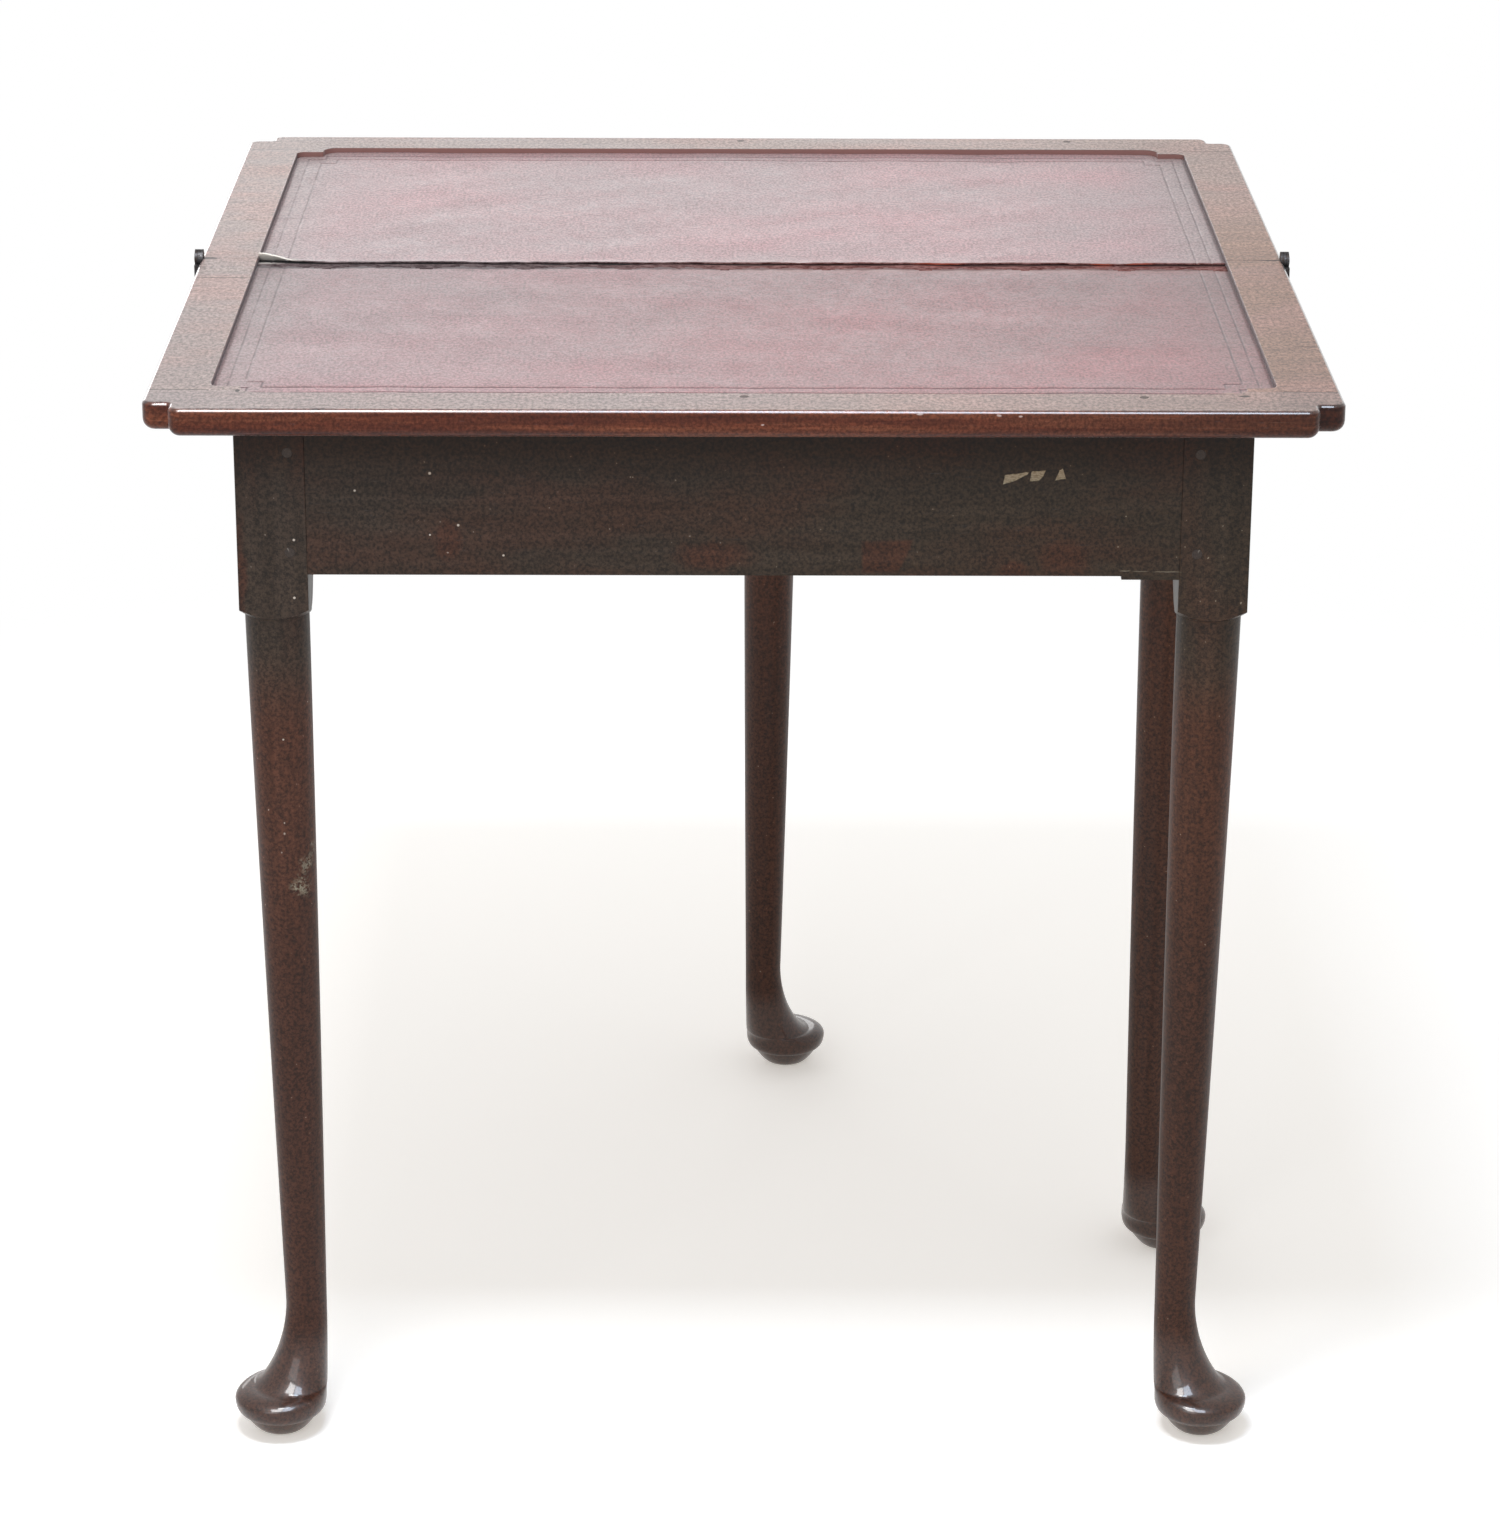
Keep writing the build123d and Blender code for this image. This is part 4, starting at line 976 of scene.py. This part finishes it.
# %% Suede and the raw edge
def torn_suede():
    """The raw underside and torn edge: grey-brown fibres, with fresh red here and there."""
    material, tree, shader = new_finish("torn_suede", Specular_IOR_Level=0.2, Sheen_Weight=0.3)
    place = place_in_mm(tree)
    fibres = cloud(tree, place, (2.4, 0.5, 0.5), 4.0)
    patches = cloud(tree, place, (14, 14, 14), 2.0)
    fresh = largest(tree, ease(tree, patches, 0.62, 0.70, 0.0, 0.7), blots(tree, place, fresh_tears, 0.5))
    colour = tint(tree, fresh, colours(tree, fibres, *SUEDE), SUEDE_FRESH)
    # Painted light: the curled corner's underside is painted almost white.
    colour = tint(tree, blots(tree, place, painted_light_on_flap, 0.4), colour, FLAP_PAINTED_LIGHT)
    dress(tree, shader, colour, ease(tree, fibres, 0.3, 0.7, 0.8, 0.95), fibres, 0.3)
    return material


def raw_edge():
    """The worn face beside the tear, without any gloss: dark grey at the left, red-brown at the right."""
    material, tree, shader = new_finish("raw_edge", Specular_IOR_Level=0.0)
    place = place_in_mm(tree)
    fibres = cloud(tree, place, (5, 3, 3), 4.0, 0.65)
    to_the_right = ease(tree, parts_of(tree, place)[0], *RAW_GREY_TO_RED_X)
    dark = tint(tree, to_the_right, *RAW_DARK)
    light = tint(tree, to_the_right, *RAW_LIGHT)
    colour = tint(tree, ease(tree, fibres, 0.32, 0.66), dark, light)
    fresh = product(tree, blots(tree, place, fresh_tears, 0.5), 0.8)
    colour = tint(tree, fresh, colour, RAW_FRESH)
    # Painted light: the curled corner's underside is painted almost white.
    colour = tint(tree, blots(tree, place, painted_light_on_flap, 0.4), colour, FLAP_PAINTED_LIGHT)
    dress(tree, shader, colour, ease(tree, fibres, 0.3, 0.7, 0.9, 1.0), fibres, 0.4)
    return material


leather_finishes = [tooled_leather(), torn_suede(), raw_edge()]
for sheet in (near_leather, far_leather):
    for finish in leather_finishes:
        sheet.data.materials.append(finish)
print("leather:", [finish.name for finish in leather_finishes])


# %% [markdown]
# ## Turned legs
# In the photograph each leg stays slender nearly down to the foot, and then a hollow curve carries it
# out into the pad. Its square block also ends 5 mm lower than the CAD model's. So the turned part is
# made again as a surface of circles whose centre wanders, which is what turning on two centres gives.
# The block is a merged copy of the CAD node, cut off below and drawn down by those 5 mm.

# %% Values of the turned part, in mm
BLOCK_BOTTOM = 592.5
BLOCK_DROP = 5.0
CUT_MARGIN = 0.05
DRAWN_BELOW, DRAWN_LENGTH = 618.5, 19.0
SHAFT_RADIUS = 20.9
ANKLE_HEIGHT, ANKLE_RADIUS, ANKLE_WAY = 88.0, 13.9, -4.3
HOLLOW_END, HOLLOW_SHARE = 29.9, 0.67
PAD_HEIGHT, PAD_RADIUS, PAD_WAY = 22.8, 31.3, 13.5
SHOE_HEIGHT, RIM_RADIUS, SHOE_LIP = 13.8, 26.8, 0.5
SOLE_RADIUS = 13.8
AROUND = 72


# %% The profile from block to floor
def widened(opened):
    """Radius and way out of the foot, where opened runs from 0 at the ankle to 1 at the rim."""
    return ANKLE_RADIUS + (PAD_RADIUS - ANKLE_RADIUS) * opened, ANKLE_WAY + (PAD_WAY - ANKLE_WAY) * opened


def turned_profile():
    """Rows of height, radius and the centre's way out towards the toe, in mm, from block to floor.

    The shaft tapers as share ** 1.25. The foot's hollow mixes a parabola with a quarter circle,
    1 - sqrt(1 - share ** 2), which ends level. Quarters of ellipses then make the shoulder of the
    pad and its rim, and a power of the height the round shoe below."""
    share = np.linspace(0, 1, 40)
    top = BLOCK_BOTTOM - BLOCK_DROP
    radius = SHAFT_RADIUS + (ANKLE_RADIUS - SHAFT_RADIUS) * share**1.25
    shaft = [top + (ANKLE_HEIGHT - top) * share, radius, ANKLE_WAY * share]
    share = 1 - np.linspace(1, 0, 40)[1:] ** 1.6
    opened = HOLLOW_SHARE * (0.44 * share**2 + 0.56 * (1 - np.sqrt(1 - share**2)))
    hollow = [ANKLE_HEIGHT + (HOLLOW_END - ANKLE_HEIGHT) * share, *widened(opened)]
    turn = np.linspace(0, np.pi / 2, 16)[1:]
    opened = HOLLOW_SHARE + (1 - HOLLOW_SHARE) * np.sin(turn)
    shoulder = [PAD_HEIGHT + (HOLLOW_END - PAD_HEIGHT) * np.cos(turn), *widened(opened)]
    radius = PAD_RADIUS - (PAD_RADIUS - RIM_RADIUS) * (1 - np.cos(turn))
    rim = [PAD_HEIGHT - (PAD_HEIGHT - SHOE_HEIGHT) * np.sin(turn), radius, np.full(turn.size, PAD_WAY)]
    share = np.linspace(1, 0, 13)
    radius = SOLE_RADIUS + (RIM_RADIUS - SHOE_LIP - SOLE_RADIUS) * share**0.66
    shoe = [SHOE_HEIGHT * share, radius, np.full(share.size, PAD_WAY)]
    return np.hstack([shaft, hollow, shoulder, rim, shoe])


# %% The block of a leg
def leg_block(node_name):
    """Points in mm and triangles of a CAD leg's block, its lowest part drawn down by BLOCK_DROP."""
    blank = bmesh.new()
    blank.from_mesh(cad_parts[node_name].data)
    bmesh.ops.remove_doubles(blank, verts=blank.verts, dist=1e-6)
    everything = [*blank.verts, *blank.edges, *blank.faces]
    cut = (0, 0, (BLOCK_BOTTOM - CUT_MARGIN) * MM)
    bmesh.ops.bisect_plane(blank, geom=everything, plane_co=cut, plane_no=(0, 0, 1), clear_inner=True)
    bmesh.ops.holes_fill(blank, edges=[edge for edge in blank.edges if edge.is_boundary])
    bmesh.ops.triangulate(blank, faces=blank.faces)
    mesh = bpy.data.meshes.new("block")
    blank.to_mesh(mesh)
    blank.free()
    points = np.empty(len(mesh.vertices) * 3)
    mesh.vertices.foreach_get("co", points)
    faces = np.empty(len(mesh.polygons) * 3, dtype=np.int32)
    mesh.polygons.foreach_get("vertices", faces)
    bpy.data.meshes.remove(mesh)
    points = points.reshape(-1, 3) / MM
    points[:, 2] -= BLOCK_DROP * np.clip((DRAWN_BELOW - points[:, 2]) / DRAWN_LENGTH, 0, 1)
    return points, faces.reshape(-1, 3)


# %% Four legs
def turned_leg(node_name, body, centre, toe):
    """A whole leg: the CAD block over circles round centre + toe * way, toe pointing outwards."""
    height, radius, way = turned_profile()
    angle = np.linspace(0, 2 * np.pi, AROUND, endpoint=False)
    x = centre[0] + toe[0] * way[:, None] + radius[:, None] * np.cos(angle)
    y = centre[1] + toe[1] * way[:, None] + radius[:, None] * np.sin(angle)
    rings = np.stack([x, y, np.broadcast_to(height[:, None], x.shape)], axis=-1).reshape(-1, 3)
    points, triangles = leg_block(node_name)
    corners = np.arange(x.size).reshape(x.shape) + len(points)
    following = np.roll(corners, -1, axis=1)
    quads = np.stack([corners[:-1], corners[1:], following[1:], following[:-1]], axis=-1).reshape(-1, 4)
    faces = triangles.tolist() + quads.tolist() + [corners[0].tolist(), corners[-1, ::-1].tolist()]
    mesh = bpy.data.meshes.new(node_name.replace("_leg", "_turned_leg"))
    mesh.from_pydata((np.vstack([points, rings]) * MM).tolist(), [], faces)
    mesh.shade_smooth()
    mesh.set_sharp_from_angle(angle=0.6)
    mesh.materials.append(frame_woods["along_z"])
    made = bpy.data.objects.new(mesh.name, mesh)
    bpy.context.scene.collection.objects.link(made)
    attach(made, body)
    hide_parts(node_name)
    print(made.name, len(triangles), "block triangles and", len(quads), "turned faces")
    return made


# %% Where the legs stand
LEG_X, FRONT_LEG_Y, REAR_LEG_Y = 302.5, -332.7, -71.7
GATE_PIN = np.array([22.0, -59.7])
GATE_TURN = np.radians(-92.5)
OPENED = np.array([[np.cos(GATE_TURN), -np.sin(GATE_TURN)], [np.sin(GATE_TURN), np.cos(GATE_TURN)]])
gate_centre = GATE_PIN + OPENED @ (np.array([-LEG_X, REAR_LEG_Y]) - GATE_PIN)
turned_leg("front_left_leg", "frame", (-LEG_X, FRONT_LEG_Y), (-1, -1))
turned_leg("front_right_leg", "frame", (LEG_X, FRONT_LEG_Y), (1, -1))
turned_leg("rear_right_leg", "frame", (LEG_X, REAR_LEG_Y), (1, 1))
turned_leg("gate_leg", "gate", gate_centre, OPENED @ np.array([-1, 1]))


# %% [markdown]
# ## Every CAD node gets its finish
# A node that keeps its own shape only needs its material slots filled.

# %% Finishes by node
finishes = {
    top_wood: ["fixed_leaf", "fixed_leaf_strip", "folding_leaf", "folding_leaf_strip"],
    frame_woods["along_x"]: ["front_rail", "front_rail_patch"],
    frame_woods["along_y"]: ["left_rail", "right_rail"],
    frame_woods["along_z"]: ["front_left_leg", "front_right_leg", "rear_right_leg", "gate_leg"],
    back_wood: ["inner_back_rail", "fixed_outer_rail", "gate_rail", "glue_blocks", "corner_block"],
    peg_wood: ["frame_pegs", "gate_pegs"],
    plug_wood: ["fixed_leaf_plugs", "folding_leaf_plugs"],
    iron: [
        "fixed_strap_left", "fixed_strap_right", "folding_strap_left", "folding_strap_right",
        "hinge_pin_left", "hinge_pin_right", "fixed_strap_screws", "folding_strap_screws",
        "gate_pin", "pocket_screws", "back_rail_screws",
    ],
}
for finish, names in finishes.items():
    for name in names:
        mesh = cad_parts[name].data
        mesh.materials.clear()
        mesh.materials.append(finish)
dressed = {name for names in finishes.values() for name in names}
print("undressed nodes:", sorted(set(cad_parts) - dressed))

# %% [markdown]
# ## The floor
# The photograph has a white ground. A white floor takes the table's soft shadow. Away from the table
# it turns into the same white as the sky, so no horizon shows from any side.

# %% Helpers for light
WHITE = (1, 1, 1)
FLOOR_HALF, FLOOR_DROP = 30.0, 0.0004
FLOOR_WHITE = (0.95, 0.95, 0.95, 1)
SHADOW_GLOW, SHADOW_GLOW_STRENGTH = (1, 0.94, 0.85, 1), 0.34


def white_rays(tree):
    """1 for camera rays, and for glossy or transmitted ones, so that polish shows the same white."""
    path = tree.nodes.new("ShaderNodeLightPath").outputs
    return largest(tree, path["Is Camera Ray"], path["Is Glossy Ray"], path["Is Transmission Ray"])


def link_output(tree, surface, kind="ShaderNodeOutputMaterial"):
    """Gives the tree its output node."""
    tree.links.new(surface, tree.nodes.new(kind).inputs["Surface"])


# %% Floor
def floor_finish():
    """White paint with its shadow lifted a little, which turns to plain white 0.6 to 1.6 m out."""
    material = bpy.data.materials.new("white_floor")
    material.use_nodes = True
    tree = material.node_tree
    tree.nodes.clear()
    metres = node(tree, "TexCoord", output="Object")
    reach = node(tree, "VectorMath", {0: metres}, output="Value", operation="LENGTH")
    seen = white_rays(tree)
    paint = node(tree, "BsdfDiffuse", {"Color": FLOOR_WHITE})
    glow = {"Color": SHADOW_GLOW, "Strength": product(tree, seen, SHADOW_GLOW_STRENGTH)}
    near = node(tree, "AddShader", {0: paint, 1: node(tree, "Emission", glow)})
    white = node(tree, "Emission", {"Color": (*WHITE, 1), "Strength": 1.0})
    far = product(tree, ease(tree, reach, 0.6, 1.6), seen)
    link_output(tree, node(tree, "MixShader", {0: far, 1: near, 2: white}))
    return material


floor_mesh = bpy.data.meshes.new("floor")
square = np.array([[-1, -1, 0], [1, -1, 0], [1, 1, 0], [-1, 1, 0]]) * FLOOR_HALF - [0, 0, FLOOR_DROP]
floor_mesh.from_pydata(square.tolist(), [], [(0, 1, 2, 3)])
floor_mesh.materials.append(floor_finish())
floor = bpy.data.objects.new("floor", floor_mesh)
bpy.context.scene.collection.objects.link(floor)
print("floor", 2 * FLOOR_HALF, "m wide")

# %% [markdown]
# ## The light
# The photograph was lit from all sides, with one window-like light of two panes above the front left.
# The small panes draw the bright line along the front edge. The two large ones light nothing: they
# show only as reflections, and give the polished feet their two-paned spots. The sky is white to the
# camera and to polish, and softer for the light that it gives.

# %% Sky
world = bpy.data.worlds.new("sky")
bpy.context.scene.world = world
world.use_nodes = True
sky = world.node_tree
sky.nodes.clear()
soft_sky = node(sky, "Background", {"Color": (*WHITE, 1), "Strength": 0.6})
white_sky = node(sky, "Background", {"Color": (*WHITE, 1), "Strength": 1.0})
mixed_sky = node(sky, "MixShader", {0: white_rays(sky), 1: soft_sky, 2: white_sky})
link_output(sky, mixed_sky, "ShaderNodeOutputWorld")
print("sky:", len(sky.nodes), "nodes")


# %% Lamps, in metres
def pane(name, place, target, size, radiance, colour=WHITE):
    """A rectangular lamp in metres. Its power is radiance * pi * its area, in watts."""
    lamp = bpy.data.lights.new(name, "AREA")
    lamp.shape = "RECTANGLE"
    lamp.size, lamp.size_y = size
    lamp.energy = radiance * math.pi * size[0] * size[1]
    lamp.color = colour
    made = bpy.data.objects.new(name, lamp)
    made.location = place
    made.rotation_mode = "QUATERNION"
    made.rotation_quaternion = (Vector(target) - Vector(place)).to_track_quat("-Z", "Y")
    bpy.context.scene.collection.objects.link(made)
    return made


BLUE_SKY = (0.72, 0.84, 1.0)
WINDOW_X, WINDOW_Y, WINDOW_HEIGHT = -0.22, -0.86, 2.6
MIRRORED_Y, MIRRORED_AIM_Y = -1.85, -0.35
PANE_SIZE, MIRRORED_SIZE = (0.36, 0.42), (1.0, 1.5)
for side, shift, radiance, colour in (("left", -0.20, 40.0, WHITE), ("right", 0.20, 32.0, BLUE_SKY)):
    x = WINDOW_X + shift
    pane(f"window_{side}_pane", (x, WINDOW_Y, WINDOW_HEIGHT), (x, WINDOW_Y, 0), PANE_SIZE, radiance, colour)
for shift, radiance, colour in ((-0.55, 21.0, WHITE), (0.55, 17.0, BLUE_SKY)):
    x = WINDOW_X + shift
    place, target = (x, MIRRORED_Y, WINDOW_HEIGHT), (x, MIRRORED_AIM_Y, 0)
    mirrored = pane("mirrored_pane", place, target, MIRRORED_SIZE, radiance, colour)
    mirrored.visible_diffuse = False
pane("front_fill", (-1.6, -3.6, 2.0), (0, 0, 0.4), (2.2, 1.6), 2.4)
pane("back_left_screen", (-0.65, 2.8, 1.05), (-0.2, 0.1, 0.74), (2.4, 0.55), 3.4)
